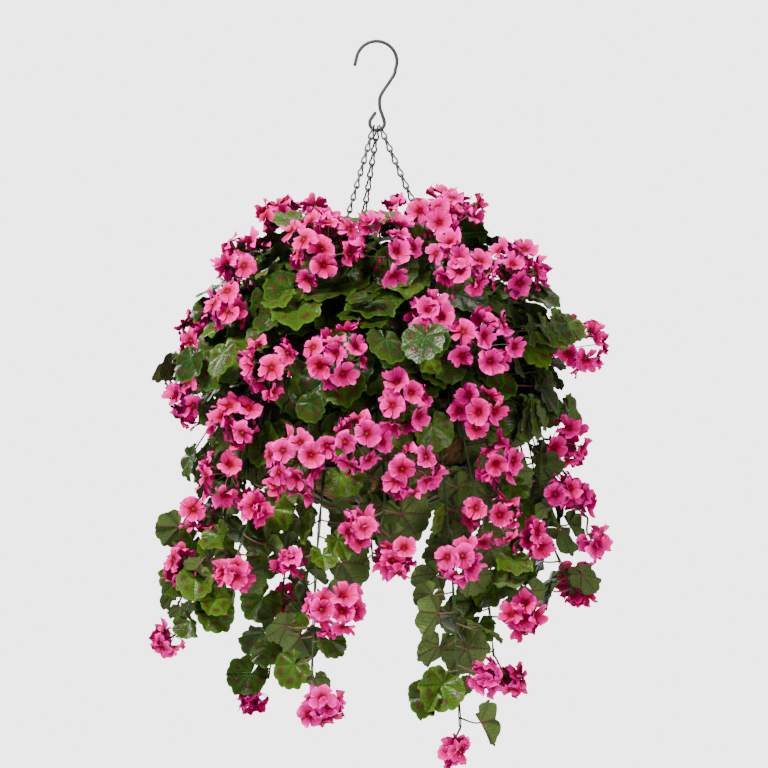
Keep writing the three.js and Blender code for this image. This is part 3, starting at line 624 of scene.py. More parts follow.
def can_stand_deep(leaf, gap=2):
    """Whether a leaf in the shade of the crown keeps clear of the flower heads and the chains."""
    if crowds_chains(leaf) or not clear_of_heads(leaf, gap):
        return False
    chains = [r for r in near_rods(leaf["centre"], leaf["radius"] + 12) if r["node"] == "chain"]
    return all(rod_to_disc(r, leaf) > 1 for r in chains)


def can_hang_on_wall(leaf):
    """Whether a leaf close to the basket's wall keeps clear of all in the plan but other leaves."""
    if touches_basket(leaf) or not clear_of_heads(leaf):
        return False
    return all(rod_to_disc(r, leaf) > 0.6 for r in near_rods(leaf["centre"], leaf["radius"] + 12))


def turned_leaf(joint, tip_parts, facing_parts, size):
    """A leaf whose tip and face point by given shares outward, sideways and up."""
    out, aside = around(joint)
    tip = direction((out, tip_parts[0]), (aside, tip_parts[1]), (UP, tip_parts[2]))
    facing = direction((out, facing_parts[0]), (aside, facing_parts[1]), (UP, facing_parts[2]))
    return leaf_at(joint, tip, facing, size)


def add_where_it_fits(leaves, places, tip, facing, size, fits=fits_between):
    """Adds a leaf at the first place that fits. One that fits between others joins the plan."""
    for joint in places:
        leaf = turned_leaf(joint, tip, facing, size)
        if fits(leaf):
            leaves.append(leaf)
            if fits is fits_between:
                discs.append(leaf)
            break


def scatter(count, start, top, depth):
    """Azimuths and heights that are spread evenly over a band of the plant."""
    for i in range(count):
        yield (i * GOLDEN_ANGLE + start) % 360, top - depth * ((i * GOLDEN_SHARE) % 1)


def at_radii(radii, azimuth, z):
    return [polar(radius, azimuth, z) for radius in radii]


skirt_leaves = []
for azimuth, z in scatter(SKIRT_LEAVES, start=0, top=-486, depth=150):
    size = LEAF_RADIUS * vary(0.66, 1.06)
    tip = (0.25 + vary(-0.3, 0.3), vary(-0.9, 0.9), -1)
    facing = (1, vary(-0.9, 0.9), vary(-0.3, 0.8))
    add_where_it_fits(skirt_leaves, at_radii((240, 226, 212, 252, 198), azimuth, z), tip, facing, size)

filler_leaves = []
for i in range(FILLER_LEAVES):
    azimuth, z = (i * GOLDEN_ANGLE + 60) % 360, -214 - 292 * ((i + 0.5) / FILLER_LEAVES) ** 0.8
    size = LEAF_RADIUS * vary(0.62, 1.04)
    steep = steepness(z)
    tip = (0.3 + steep + vary(-0.4, 0.4), vary(-1, 1), -0.8 + steep * 0.6 + vary(-0.3, 0.3))
    facing = (1 - 0.5 * steep, vary(-0.9, 0.9), 0.45 + steep + vary(-0.6, 0.3))
    places = [polar(max(16, crown_radius(z) - d), azimuth, z - d * 0.2) for d in (12, 26, 40, 56, 74)]
    add_where_it_fits(filler_leaves, places, tip, facing, size)
for azimuth, z in scatter(FLANK_LEAVES, start=10, top=-368, depth=130):
    size = LEAF_RADIUS * vary(0.62, 0.98)
    tip = (0.4 + vary(-0.3, 0.3), vary(-0.9, 0.9), -1 + vary(0, 0.5))
    facing = (1, vary(-0.8, 0.8), vary(-0.1, 0.8))
    add_where_it_fits(filler_leaves, at_radii((268, 258, 278, 248), azimuth, z), tip, facing, size)

deep_leaves = []
for azimuth, z in scatter(DEEP_LEAVES, start=20, top=-236, depth=250):
    place = polar(max(18, crown_radius(z) - vary(30, 126)), azimuth, z)
    tip = (0.4 + vary(-0.5, 0.5), vary(-1, 1), -0.4 + vary(-0.6, 0.6))
    facing = (1, vary(-0.8, 0.8), vary(-0.4, 0.8))
    add_where_it_fits(deep_leaves, [place], tip, facing, LEAF_RADIUS * vary(0.8, 1.05), can_stand_deep)
for azimuth, z in scatter(TOP_LEAVES, start=95, top=-222, depth=90):
    place = polar(max(12, crown_radius(z) - vary(20, 80)), azimuth, z)
    tip = (0.7, vary(-1, 1), vary(-0.5, 0.3))
    facing = (vary(0.2, 1), vary(-0.6, 0.6), vary(0.4, 1))
    add_where_it_fits(deep_leaves, [place], tip, facing, LEAF_RADIUS * vary(0.7, 1), can_stand_deep)


def leaf_behind(head, turn):
    """A leaf of the crown close behind a flower head."""
    axis = head["axis"]
    across = unit(np.cross(axis, vec(0.1, 0.2, 1)))
    away = between(across, np.cross(axis, across), turn)
    place = head["centre"] - axis * (head["radius"] + vary(6, 24)) + away * vary(2, 34)
    facing = direction((axis, 1), (any_way(), 0.45))
    return leaf_at(place, unit(off_plane(away, axis)), facing, LEAF_RADIUS * vary(0.7, 1))


for head in crown_heads:
    if head["centre"][2] <= LINER_TOP + 30:
        continue
    for i in range(LEAVES_BEHIND_HEAD):
        leaf = leaf_behind(head, 2 * math.pi * i / LEAVES_BEHIND_HEAD)
        if not touches_basket(leaf) and can_stand_deep(leaf, 1):
            deep_leaves.append(leaf)

wall_leaves = []
for azimuth, z in scatter(WALL_LEAVES, start=40, top=-468, depth=128):
    tip = (0.1 + vary(-0.15, 0.15), vary(-0.7, 0.7), -1)
    facing = (1, vary(-0.5, 0.5), vary(-0.2, 0.3))
    size = LEAF_RADIUS * vary(0.66, 0.98)
    places = at_radii((186, 193, 201, 210), azimuth, z)
    add_where_it_fits(wall_leaves, places, tip, facing, size, can_hang_on_wall)

for trail in trails:
    count = EXTRA_TRAIL_LEAVES + trail["leaf_count"]
    for i in range(count):
        start = hanging_point(trail["path"], 0.16 + 0.84 * (i + 0.5) / count)
        out, aside = around(start)
        size = LEAF_RADIUS * vary(0.6, 0.98)
        for _ in range(EXTRA_TRIES):
            away = swung(out, aside, vary(-3.14, 3.14), vary(-0.5, 0.2))
            joint = start + away * vary(14, 36)
            tip = (away @ out + vary(-0.2, 0.2), away @ aside, -vary(0.5, 1.3))
            leaf = turned_leaf(joint, tip, (vary(-1, 1), vary(-0.7, 0.7), vary(0.1, 1.1)), size)
            if fits_between(leaf):
                discs.append(leaf)
                trail["extra"].append({**leaf, "root": start})
                break


# ---- Meshes: grids of points gathered into one skin ----
def uv_grid(u, v, shape):
    return np.stack([np.broadcast_to(u, shape), np.broadcast_to(v, shape)], -1)


class Skin:
    """Sheets and tubes that become one piece."""

    def __init__(self):
        self.points, self.quads, self.uvs, self.tones, self.paints, self.count = [], [], [], [], [], 0

    def grid(self, points, uv, paint=0, tone=0.5, flip=False, wrap=False):
        """A sheet of quads over rows and columns of points."""
        rows, cols = points.shape[:2]
        index = self.count + np.arange(rows * cols).reshape(rows, cols)
        if wrap:
            index = np.hstack([index, index[:, :1]])
        quads = np.stack([index[:-1, :-1], index[:-1, 1:], index[1:, 1:], index[1:, :-1]], -1).reshape(-1, 4)
        self.points.append(points.reshape(-1, 3))
        self.uvs.append(np.broadcast_to(uv, (rows, cols, 2)).reshape(-1, 2))
        self.tones.append(np.full(rows * cols, tone))
        self.quads.append(quads[:, ::-1] if flip else quads)
        self.paints.append(np.full(len(quads), paint))
        self.count += rows * cols

    def tube(self, points, radius, sides=6, paint=0, tone=0.5):
        """A round wire or stalk along points, with rounded ends."""
        points = np.asarray(points, float)
        radii = np.broadcast_to(radius, len(points)).astype(float)
        steps = unit_rows(np.gradient(points, axis=0))
        first = [points[0] - steps[0] * radii[0] * 0.6, points[0] - steps[0] * radii[0] * 0.35]
        last = [points[-1] + steps[-1] * radii[-1] * 0.35, points[-1] + steps[-1] * radii[-1] * 0.6]
        line = np.vstack([first, points, last])
        wide = np.concatenate([radii[0] * np.array([0.1, 0.75]), radii, radii[-1] * np.array([0.75, 0.1])])
        along = np.vstack([steps[:1], steps[:1], steps, steps[-1:], steps[-1:]])
        normal = np.array([1.0, 0, 0]) if abs(along[0][0]) < 0.8 else np.array([0, 1.0, 0])
        a = np.arange(sides) * 2 * math.pi / sides
        rings = []
        for centre, tangent, r in zip(line, along, wide):
            normal = unit(off_plane(normal, tangent))
            over = np.cross(tangent, normal)
            rings.append(centre + r * (np.cos(a)[:, None] * normal + np.sin(a)[:, None] * over))
        uv = uv_grid(a / (2 * math.pi), np.linspace(0, 1, len(line))[:, None], (len(line), sides))
        self.grid(np.array(rings), uv, paint, tone, wrap=True)

    def make(self, name, paints, slot, nodes):
        """One visible piece that stands in for nodes of the solids."""
        points, quads = np.concatenate(self.points) * 0.001, np.concatenate(self.quads)
        mesh = bpy.data.meshes.new(name)
        mesh.vertices.add(len(points))
        mesh.vertices.foreach_set("co", points.ravel())
        mesh.loops.add(quads.size)
        mesh.loops.foreach_set("vertex_index", quads.ravel())
        mesh.polygons.add(len(quads))
        mesh.polygons.foreach_set("loop_start", np.arange(0, quads.size, 4))
        mesh.polygons.foreach_set("material_index", np.concatenate(self.paints))
        mesh.update(calc_edges=True)
        corner_uvs = np.concatenate(self.uvs)[quads.ravel()]
        mesh.uv_layers.new(name="UVMap").data.foreach_set("uv", corner_uvs.ravel())
        mesh.attributes.new("tone", "FLOAT", "POINT").data.foreach_set("value", np.concatenate(self.tones))
        mesh.shade_smooth()
        piece = bpy.data.objects.new(name, mesh)
        bpy.context.scene.collection.objects.link(piece)
        for paint in paints:
            mesh.materials.append(paint)
        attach(piece, "root")
        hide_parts(*nodes)


def bezier(a, b, pull_a, pull_b, count):
    """Points on a smooth bend from a to b that leaves along pull_a and arrives from pull_b."""
    t = np.linspace(0, 1, count + 1)[:, None]
    ends = a * (1 - t) ** 3 + 3 * (a + pull_a) * t * (1 - t) ** 2
    return ends + 3 * (b + pull_b) * t**2 * (1 - t) + b * t**3


def bend_to(a, b, way_a, share_a, way_b, share_b, count):
    """A bend that leaves along way_a and arrives along way_b, each for its share of the gap."""
    gap = size_of(b - a)
    return bezier(a, b, way_a * gap * share_a, -way_b * gap * share_b, count)


# ---- Materials ----
class Paint:
    """A procedural material and the short cuts that its nodes are made with."""

    def __init__(self, name, **sockets):
        self.material = bpy.data.materials.new(name)
        self.material.use_nodes = True
        self.tree = self.material.node_tree
        self.shader = self.tree.nodes["Principled BSDF"]
        for key, value in sockets.items():
            self.shader.inputs[key.replace("_", " ")].default_value = value
        separate = self.add("ShaderNodeSeparateXYZ", self.add("ShaderNodeUVMap").outputs[0])
        self.u, self.v = separate.outputs[0], separate.outputs[1]
        tone = self.add("ShaderNodeAttribute")
        tone.attribute_name = "tone"
        self.tone = tone.outputs["Fac"]
        self.place = self.add("ShaderNodeTexCoord").outputs["Object"]

    def add(self, kind, *inputs, **props):
        node = self.tree.nodes.new(kind)
        for key, value in props.items():
            setattr(node, key, value)
        for socket, value in zip(node.inputs, inputs):
            self.set(socket, value)
        return node

    def set(self, socket, value):
        if isinstance(value, bpy.types.NodeSocket):
            self.tree.links.new(value, socket)
        elif value is not None:
            socket.default_value = value

    def math(self, operation, *inputs):
        return self.add("ShaderNodeMath", *inputs, operation=operation).outputs[0]

    def times(self, one, other):
        return self.math("MULTIPLY", one, other)

    def plus(self, one, other):
        return self.math("ADD", one, other)

    def minus(self, one, other):
        return self.math("SUBTRACT", one, other)

    def linear(self, value, slope, start):
        return self.math("MULTIPLY_ADD", value, slope, start)

    def absolute(self, value):
        return self.math("ABSOLUTE", value)

    def off_round(self, value):
        """How far a value is from the nearest whole number."""
        return self.absolute(self.minus(value, self.math("ROUND", value)))

    def ramp(self, value, low, high):
        """0 at low and 1 at high, with a smooth step between."""
        node = self.add("ShaderNodeMapRange", value, low, high, 0.0, 1.0, interpolation_type="SMOOTHSTEP")
        return node.outputs[0]

    def noise(self, scale, detail=3.0, place=None):
        node = self.add("ShaderNodeTexNoise")
        self.set(node.inputs["Vector"], place or self.place)
        node.inputs["Scale"].default_value = scale
        node.inputs["Detail"].default_value = detail
        return node.outputs[0]

    def mix(self, share, one, other):
        node = self.add("ShaderNodeMix", data_type="RGBA")
        for key, value in ((0, share), (6, one), (7, other)):
            self.set(node.inputs[key], value)
        return node.outputs[2]

    def over(self, base, mask, share, colour):
        """A colour laid over a base where a mask is 1, as strongly as share says."""
        return self.mix(self.times(mask, share), base, colour)

    def colour(self, value):
        self.set(self.shader.inputs["Base Color"], value)

    def rough(self, value):
        self.set(self.shader.inputs["Roughness"], value)

    def bump(self, height, distance, strength=1.0):
        node = self.add("ShaderNodeBump")
        for key, value in (("Height", height), ("Distance", distance), ("Strength", strength)):
            self.set(node.inputs[key], value)
        self.set(self.shader.inputs["Normal"], node.outputs[0])


def tint(r, g, b):
    """A colour in linear light."""
    return (r, g, b, 1)


VEIN_STEP = 52  # degrees between the main veins of a leaf


def leaf_veins(paint, width, fade):
    """Masks of a leaf's main veins, of the side veins that leave them and of what lies off the main veins."""
    turns = paint.times(paint.minus(paint.u, 0.5), 360 / VEIN_STEP)
    off = paint.off_round(turns)
    far = paint.times(paint.times(off, math.radians(VEIN_STEP)), paint.v)
    taper = paint.linear(paint.v, -fade, width)
    main = paint.ramp(paint.minus(far, taper), 0.012, -0.004)
    slant = paint.times(paint.minus(paint.v, paint.times(far, 0.9)), 7.0)
    side = paint.times(paint.ramp(paint.off_round(slant), 0.11, 0.02), paint.ramp(paint.v, 0.12, 0.4))
    return main, side, paint.ramp(off, 0.08, 0.3)


def leaf_top():
    """Green with a broken maroon ring between the veins and a paler rim."""
    paint = Paint("leaf upper side", Specular_IOR_Level=0.13)
    main, side, off_vein = leaf_veins(paint, 0.016, 0.011)
    mottle = paint.noise(42, 4)
    blotch = paint.noise(75, 3)
    fine = paint.noise(260, 3)
    green = paint.mix(paint.ramp(paint.tone, 0.1, 0.85), tint(0.003, 0.019, 0.001), tint(0.036, 0.078, 0.004))
    green = paint.mix(paint.ramp(paint.tone, 0.93, 0.98), green, tint(0.08, 0.17, 0.006))
    green = paint.over(green, paint.ramp(mottle, 0.4, 0.7), 0.5, tint(0.03, 0.056, 0.002))
    wander = paint.plus(paint.v, paint.times(paint.minus(mottle, 0.5), 0.3))
    inner, outer = paint.ramp(wander, 0.45, 0.6), paint.ramp(wander, 0.86, 0.7)
    patches = paint.times(off_vein, paint.ramp(blotch, 0.3, 0.5))
    ring = paint.times(paint.times(inner, outer), patches)
    green = paint.over(green, ring, 0.8, tint(0.036, 0.009, 0.004))
    rim = paint.times(paint.ramp(paint.v, 0.88, 1.0), paint.times(blotch, 0.6))
    green = paint.mix(rim, green, tint(0.08, 0.15, 0.008))
    green = paint.over(green, main, 0.45, tint(0.05, 0.085, 0.015))
    green = paint.over(green, side, 0.2, tint(0.035, 0.065, 0.01))
    paint.colour(green)
    paint.rough(paint.linear(fine, 0.12, 0.27))
    relief = paint.plus(paint.times(side, 0.5), paint.times(main, -1.0))
    relief = paint.plus(relief, paint.times(blotch, 1.6))
    paint.bump(paint.plus(relief, paint.times(fine, 0.5)), 0.0011)
    return paint.material


def leaf_under():
    """A lighter, dull green with reddish main veins."""
    paint = Paint("leaf underside", Roughness=0.7, Specular_IOR_Level=0.08)
    main, side, _ = leaf_veins(paint, 0.035, 0.022)
    mottle = paint.noise(45, 4)
    green = paint.mix(paint.ramp(paint.tone, 0.1, 0.9), tint(0.022, 0.041, 0.007), tint(0.072, 0.108, 0.026))
    green = paint.over(green, paint.ramp(mottle, 0.3, 0.75), 0.4, tint(0.03, 0.046, 0.01))
    green = paint.over(green, side, 0.35, tint(0.06, 0.08, 0.025))
    green = paint.over(green, main, 0.8, tint(0.075, 0.034, 0.024))
    paint.colour(green)
    relief = paint.plus(main, paint.times(side, 0.5))
    paint.bump(paint.plus(relief, paint.times(mottle, 1.5)), 0.0022)
    return paint.material


def petal(name, face, deep, edge, throat):
    """A petal's side with a paler edge, dark lines and a dark throat."""
    paint = Paint(name, Roughness=0.6, Specular_IOR_Level=0.03)
    across = paint.absolute(paint.linear(paint.u, 2.0, -1.0))
    veins = paint.absolute(paint.math("SINE", paint.times(across, 13.0)))
    grain = paint.noise(110, 3)
    patch = paint.noise(30, 2)
    share = paint.plus(paint.tone, paint.linear(patch, 1.6, -0.8))
    base = paint.mix(paint.ramp(share, 0.25, 0.85), face, deep)
    border = paint.math("MAXIMUM", paint.ramp(paint.v, 0.6, 1.0), paint.ramp(across, 0.6, 1.0))
    colour = paint.over(base, border, paint.times(grain, 1.3), edge)
    lines = paint.times(paint.ramp(veins, 0.6, 0.0), paint.ramp(paint.v, 0.85, 0.3))
    colour = paint.over(colour, lines, 0.85, throat)
    colour = paint.over(colour, paint.ramp(paint.v, 0.56, 0.14), 0.97, throat)
    paint.colour(colour)
    paint.bump(paint.plus(veins, grain), 0.0004)
    return paint.material


def stalk_paint(name, low, high):
    """A stalk that turns from one colour at its root to another at its end."""
    paint = Paint(name, Roughness=0.6, Specular_IOR_Level=0.15)
    streak = paint.noise(90, 4)
    share = paint.ramp(paint.plus(paint.v, paint.linear(streak, 0.5, -0.25)), 0.2, 0.8)
    paint.colour(paint.mix(share, low, high))
    paint.bump(paint.noise(400, 2), 0.0004)
    return paint.material


def wire_paint(name, base, worn, roughness, metallic):
    paint = Paint(name, Metallic=metallic)
    patches = paint.noise(55, 5)
    paint.colour(paint.over(base, paint.ramp(patches, 0.5, 0.75), 0.6, worn))
    paint.rough(paint.linear(patches, 0.35, roughness))
    paint.bump(paint.noise(700, 3), 0.0002)
    return paint.material


def coir_paint(name, dark, light):
    paint = Paint(name, Roughness=0.95, Specular_IOR_Level=0.1)
    fibres = paint.noise(160, 8)
    lumps = paint.noise(42, 4)
    share = paint.ramp(paint.linear(lumps, 0.5, paint.times(fibres, 0.7)), 0.4, 0.85)
    share = paint.linear(paint.minus(paint.tone, 0.5), 0.7, share)
    paint.colour(paint.mix(share, dark, light))
    paint.bump(fibres, 0.004)
    return paint.material


LEAF_TOP, LEAF_UNDER = leaf_top(), leaf_under()
PETAL_FACE = petal(
    "petal face",
    face=tint(0.47, 0.0, 0.078),
    deep=tint(0.45, 0.0, 0.122),
    edge=tint(0.94, 0.004, 0.44),
    throat=tint(0.13, 0.0, 0.003),
)
PETAL_BACK = petal(
    "petal back",
    face=tint(0.38, 0.0, 0.058),
    deep=tint(0.36, 0.0, 0.085),
    edge=tint(0.68, 0.004, 0.22),
    throat=tint(0.24, 0.0, 0.018),
)
THROAT = stalk_paint("floret throat", tint(0.05, 0.001, 0.003), tint(0.08, 0.008, 0.004))
GREEN_STALK = stalk_paint("green stalk", tint(0.005, 0.024, 0.01), tint(0.022, 0.034, 0.012))
MAUVE_STALK = stalk_paint("mauve stalk", tint(0.06, 0.045, 0.018), tint(0.13, 0.05, 0.042))
CALYX = stalk_paint("calyx", tint(0.02, 0.045, 0.008), tint(0.05, 0.085, 0.02))
HOOK_STEEL = wire_paint("hook steel", tint(0.014, 0.012, 0.011), tint(0.045, 0.038, 0.033), 0.42, 0.25)
CHAIN_STEEL = wire_paint("chain steel", tint(0.04, 0.037, 0.034), tint(0.17, 0.15, 0.13), 0.3, 0.6)
BLACK_WIRE = wire_paint("black wire", tint(0.007, 0.007, 0.008), tint(0.03, 0.028, 0.028), 0.35, 0.3)
COIR = coir_paint("coir", tint(0.02, 0.011, 0.005), tint(0.16, 0.075, 0.027))
COIR_FIBRE = coir_paint("coir fibre", tint(0.07, 0.036, 0.013), tint(0.33, 0.19, 0.09))
MEDIUM = coir_paint("growing medium", tint(0.006, 0.005, 0.003), tint(0.04, 0.026, 0.012))

# ---- Leaves ----
# Which of a piece's paints a sheet or a tube has.
UPPER, LOWER, INSIDE = 0, 1, 2  # on leaves and petals
GREEN, MAUVE, SEPAL = 0, 1, 2  # on stalks
HALF_LEAF = 0.2  # half the thickness of a leaf, in mm
HALF_PETAL = 0.12
STALK_GAP = 0.6  # from the end of a stalk to its leaf
# How far out from its joint the points of a leaf lie, as shares of the way to its edge.
FINE_RINGS = (0.03, 0.28, 0.54, 0.76, 0.91, 1.0)
COARSE_RINGS = (0.03, 0.5, 0.84, 1.0)
SHADED_RINGS = (0.03, 0.6, 1.0)


def add_leaf(skin, leaf, shade=None, scale=0.92, bend=1.0, rings=FINE_RINGS, spokes=53):
    """A round, scalloped and pleated leaf: an upper and a lower sheet."""
    joint, tip, normal, radius = leaf["joint"], leaf["tip"], leaf["normal"], leaf["radius"] * scale
    aside = np.cross(normal, tip)
    deg = np.linspace(-169, 169, spokes)
    a, v = np.radians(deg), np.array(rings)[:, None]
    scallop = np.abs(np.cos(math.pi * deg / (VEIN_STEP / 2))) ** 0.4
    lobes = np.cos(2 * math.pi * deg / VEIN_STEP)
    ends = np.clip((np.abs(deg) - 146) / 21, 0, 1)
    phase, other = vary(0, 6.28), vary(0, 6.28)
    outline = (0.915 + 0.012 * lobes + 0.07 * scallop + 0.03 * np.sin(2 * a + phase)) * (1 - 0.24 * ends**2)
    reach = radius * (0.3 * np.cos(a) + np.sqrt(1 - (0.3 * np.sin(a)) ** 2)) * outline
    bends = (vary(-0.12, 0.14), vary(0, 0.24), vary(-0.16, 0.3), vary(-0.1, 0.1))
    cup, droop, fold, swirl = (bend * share for share in bends)
    pleat = np.abs(np.sin(math.pi * deg / VEIN_STEP)) ** 0.8
    z = 0.13 * bend * pleat * v**1.2 + cup * v**2 + fold * v * np.abs(np.sin(a))
    z = z - droop * v**2 * np.clip(np.cos(a), 0, 1)
    z = z + 0.05 * v**3 * np.sin(3 * a + phase) + 0.03 * v**4 * np.sin(8 * a + other) + swirl * v * np.sin(a)
    z = z - 0.035 * v**6 * scallop
    x, y = v * reach * np.cos(a), v * reach * np.sin(a)
    sheet = joint + x[..., None] * tip + y[..., None] * aside + (radius * z)[..., None] * normal
    uv = uv_grid(deg / 360 + 0.5, v, x.shape)
    tone = vary() ** 1.6 if shade is None else shade
    skin.grid(sheet + normal * HALF_LEAF, uv, UPPER, tone, flip=True)
    skin.grid(sheet - normal * HALF_LEAF, uv, LOWER, tone)


# ---- Flower heads ----
PETAL_ROWS = np.array([0.05, 0.28, 0.5, 0.72, 0.89, 1.0])[:, None]
PETAL_HALVES = np.array([0.1, 0.3, 0.46, 0.56, 0.53, 0.36])[:, None]
PETAL_COLS = np.linspace(-1, 1, 5)[None, :]
PETAL_TURNS = (0, 72, 144, 216, 288)  # degrees about the throat
FLORET = 18.6  # length of a petal
BUDS = 3  # on a head


def add_floret(petals, greens, centre, out, length, tone, hub):
    """Five broad petals about a throat, a calyx behind them and a thin stalk to the hub of the head."""
    first = unit(off_plane(any_way(), out))
    second = np.cross(out, first)
    t, s = PETAL_ROWS, PETAL_COLS
    opening = vary(-0.05, 0.6)
    for turn in PETAL_TURNS:
        a = math.radians(turn + vary(-8, 8))
        ray = between(first, second, a)
        side = np.cross(out, ray)
        long = length * vary(0.86, 1.06)
        x = long * (t - 0.11 * t**3 * s**2)
        y = long * PETAL_HALVES * s * vary(0.9, 1.06)
        curl, wave, lift = vary(-0.7, 0.2), vary(-3, 3), vary(-0.12, 0.2)
        z = long * ((opening + lift) * t + curl * t**2.5 * 0.6 + vary(0.08, 0.32) * s * t)
        z = z + long * 0.15 * np.sin(s * 5 + wave) * t**2
        z = z - long * vary(-0.3, 0.34) * s**2 * t
        sheet = centre + x[..., None] * ray + y[..., None] * side + z[..., None] * out
        uv = uv_grid(s * 0.5 + 0.5, t, x.shape)
        petals.grid(sheet + out * HALF_PETAL, uv, UPPER, tone)
        petals.grid(sheet - out * HALF_PETAL, uv, LOWER, tone, flip=True)
    petals.tube([centre - out * 0.5, centre + out * 1.2, centre + out * 2.6], [1.5, 1.2, 0.7], 4, INSIDE)
    greens.tube([centre - out * 5, centre - out * 2.5, centre - out * 0.4], [1.1, 2.2, 2.6], 4, SEPAL, vary())
    for turn in PETAL_TURNS:
        a = math.radians(turn + 36)
        ray = between(first, second, a)
        points = [centre - out * 2.2 + ray * 1.4, centre - out * 0.9 + ray * 6.4]
        sepal = np.array(points)[:, None] + np.array([[-1.3], [1.3]]) * np.cross(out, ray)
        sepal[1] = sepal[1].mean(0) + (sepal[1] - sepal[1].mean(0)) * 0.3
        greens.grid(sepal, np.zeros(2), SEPAL, vary())
    gap = size_of(centre - hub)
    stalk = bezier(hub, centre - out * 4.5, (centre - hub) * 0.3, -out * gap * 0.3, 4)
    greens.tube(stalk, 0.8, 3, MAUVE, vary())


def add_head(petals, greens, head, spread, crowd):
    """A loose cluster: florets that face every way but down the stalk, and a few buds that nod under them."""
    centre, radius, axis = head["centre"], head["radius"], head["axis"]
    across = unit(off_plane(vec(axis[1], -axis[0], 0.01), axis))
    over = np.cross(axis, across)
    hub = centre - axis * (0.42 * radius)
    tone, start, lean = vary(), vary(0, 360), vary(0, 3.14)
    long_axis, stretch = between(across, over, lean), vary(-0.15, 0.25)
    count = round(crowd * (radius / FLORET) ** 2)
    for k in range(count):
        level = 1 - (k + 0.5) / count * 1.5
        wide, q = math.sqrt(1 - level * level), math.radians(start + GOLDEN_ANGLE * k + vary(-14, 14))
        out = axis * level + between(across, over, q) * wide
        length = FLORET * vary(0.86, 1.04)
        reach = math.sqrt((radius + spread) ** 2 - length**2) - vary(0, 1) ** 2 * 15
        seat = centre + (out + long_axis * (out @ long_axis * stretch)) * reach
        face = direction((out, 1), (axis, 0.45), (any_way(), 0.6))
        add_floret(petals, greens, seat, face, length, min(1, max(0, tone + vary(-0.25, 0.25))), hub)
    for _ in range(BUDS):
        p, q = math.radians(vary(105, 140)), math.radians(vary(0, 360))
        out = between(axis, between(across, over, q), p)
        tip = hub + out * radius * 0.45 - UP * 5
        greens.tube(bezier(hub, tip, out * 5, UP * 4, 4), 0.7, 3, MAUVE, vary())
        bud = np.array([tip, tip - UP * 2.5, tip - UP * 5.5, tip - UP * 8])
        petals.tube(bud, [1.0, 2.3, 2.1, 0.9], 6, LOWER, vary())
    return hub


# ---- The crown ----
near_leaves, far_leaves, inner_leaves, shaded_leaves, crown_stalks = Skin(), Skin(), Skin(), Skin(), Skin()
near_florets, far_florets, flower_stalks = Skin(), Skin(), Skin()


def nearer(place, near, far):
    """The skin for what stands in front of the plant's middle or behind it."""
    return near if place[1] < 0 else far


def crown_base(place):
    """Where a stalk of the crown stands in the medium."""
    azimuth = azimuth_of(place) + vary(-25, 25)
    return polar(vary(12, 78), azimuth, MEDIUM_TOP - 4)


def leaf_end(leaf):
    """Where a stalk meets the underside of its leaf."""
    return leaf["joint"] - leaf["normal"] * STALK_GAP


def over_rim(azimuth, reach, lift, points, count):
    """A stalk that comes from the medium, passes over the liner's brim and goes on through points."""
    root, brim = polar(120, azimuth, MEDIUM_TOP - 3), polar(reach, azimuth, LINER_TOP + lift)
    return through([root, brim, *points], count)


for leaf in crown_leaves:
    add_leaf(nearer(leaf["joint"], near_leaves, far_leaves), leaf)
# Leaves of the skirt and over the basket's wall get paler tones than those of the crown: painted light that
# lifts them out of the shadow under the crown.
for leaf in skirt_leaves:
    add_leaf(nearer(leaf["joint"], near_leaves, far_leaves), leaf, vary(0.3, 1), rings=COARSE_RINGS)
for leaf in wall_leaves:
    add_leaf(shaded_leaves, leaf, vary(0.2, 0.95), rings=COARSE_RINGS, spokes=33)
for leaf in filler_leaves:
    add_leaf(inner_leaves, leaf, vary(0, 0.8), rings=COARSE_RINGS, spokes=40)
# The deep leaves, including those behind the heads, get the darkest tones: painted shade that darkens the
# crown's inside.
for leaf in deep_leaves:
    add_leaf(shaded_leaves, leaf, vary(0, 0.3), rings=SHADED_RINGS, spokes=27)

for leaf in crown_leaves + filler_leaves + deep_leaves:
    steps, sides, paint = (9, 4, MAUVE) if leaf["node"] == "crown_foliage" else (5, 3, GREEN)
    arriving = leaf["normal"] * 0.22 + leaf["tip"] * 0.14
    line = bend_to(crown_base(leaf["joint"]), leaf_end(leaf), UP, 0.35, arriving, 1, steps)
    crown_stalks.tube(line, np.linspace(1.5, 1.1, steps + 1), sides, paint, vary())
for leaf in skirt_leaves + wall_leaves:
    azimuth = azimuth_of(leaf["joint"])
    knee = polar(RIM_RADIUS + 9, azimuth, LINER_TOP + 12)
    line = over_rim(azimuth, 154, 8, [knee, leaf_end(leaf)], 8)
    crown_stalks.tube(line, 1.2, 3, GREEN, vary())

for head in crown_heads:
    florets = nearer(head["centre"], near_florets, far_florets)
    hub = add_head(florets, flower_stalks, head, vary(-4, 5), vary(2.1, 2.7))
    under = head["stalk"][-2]
    if len(head["stalk"]) == 4:
        line = over_rim(azimuth_of(under), 150, 12, [head["stalk"][1], under, hub], 24)
    else:
        line = np.vstack([bend_to(crown_base(under), under, UP, 0.4, head["axis"], 0.3, 16), [hub]])
    flower_stalks.tube(line, np.linspace(1.6, 1.2, len(line)), 6, GREEN, vary())

# ---- Trailing stems ----
DRAWN_IN = 0.13  # share of its stalk by which a head hangs closer to its stem than in the solids
TWIST_POINTS = 73  # along each stem
TWIST = 30  # radians that its two strands turn about each other

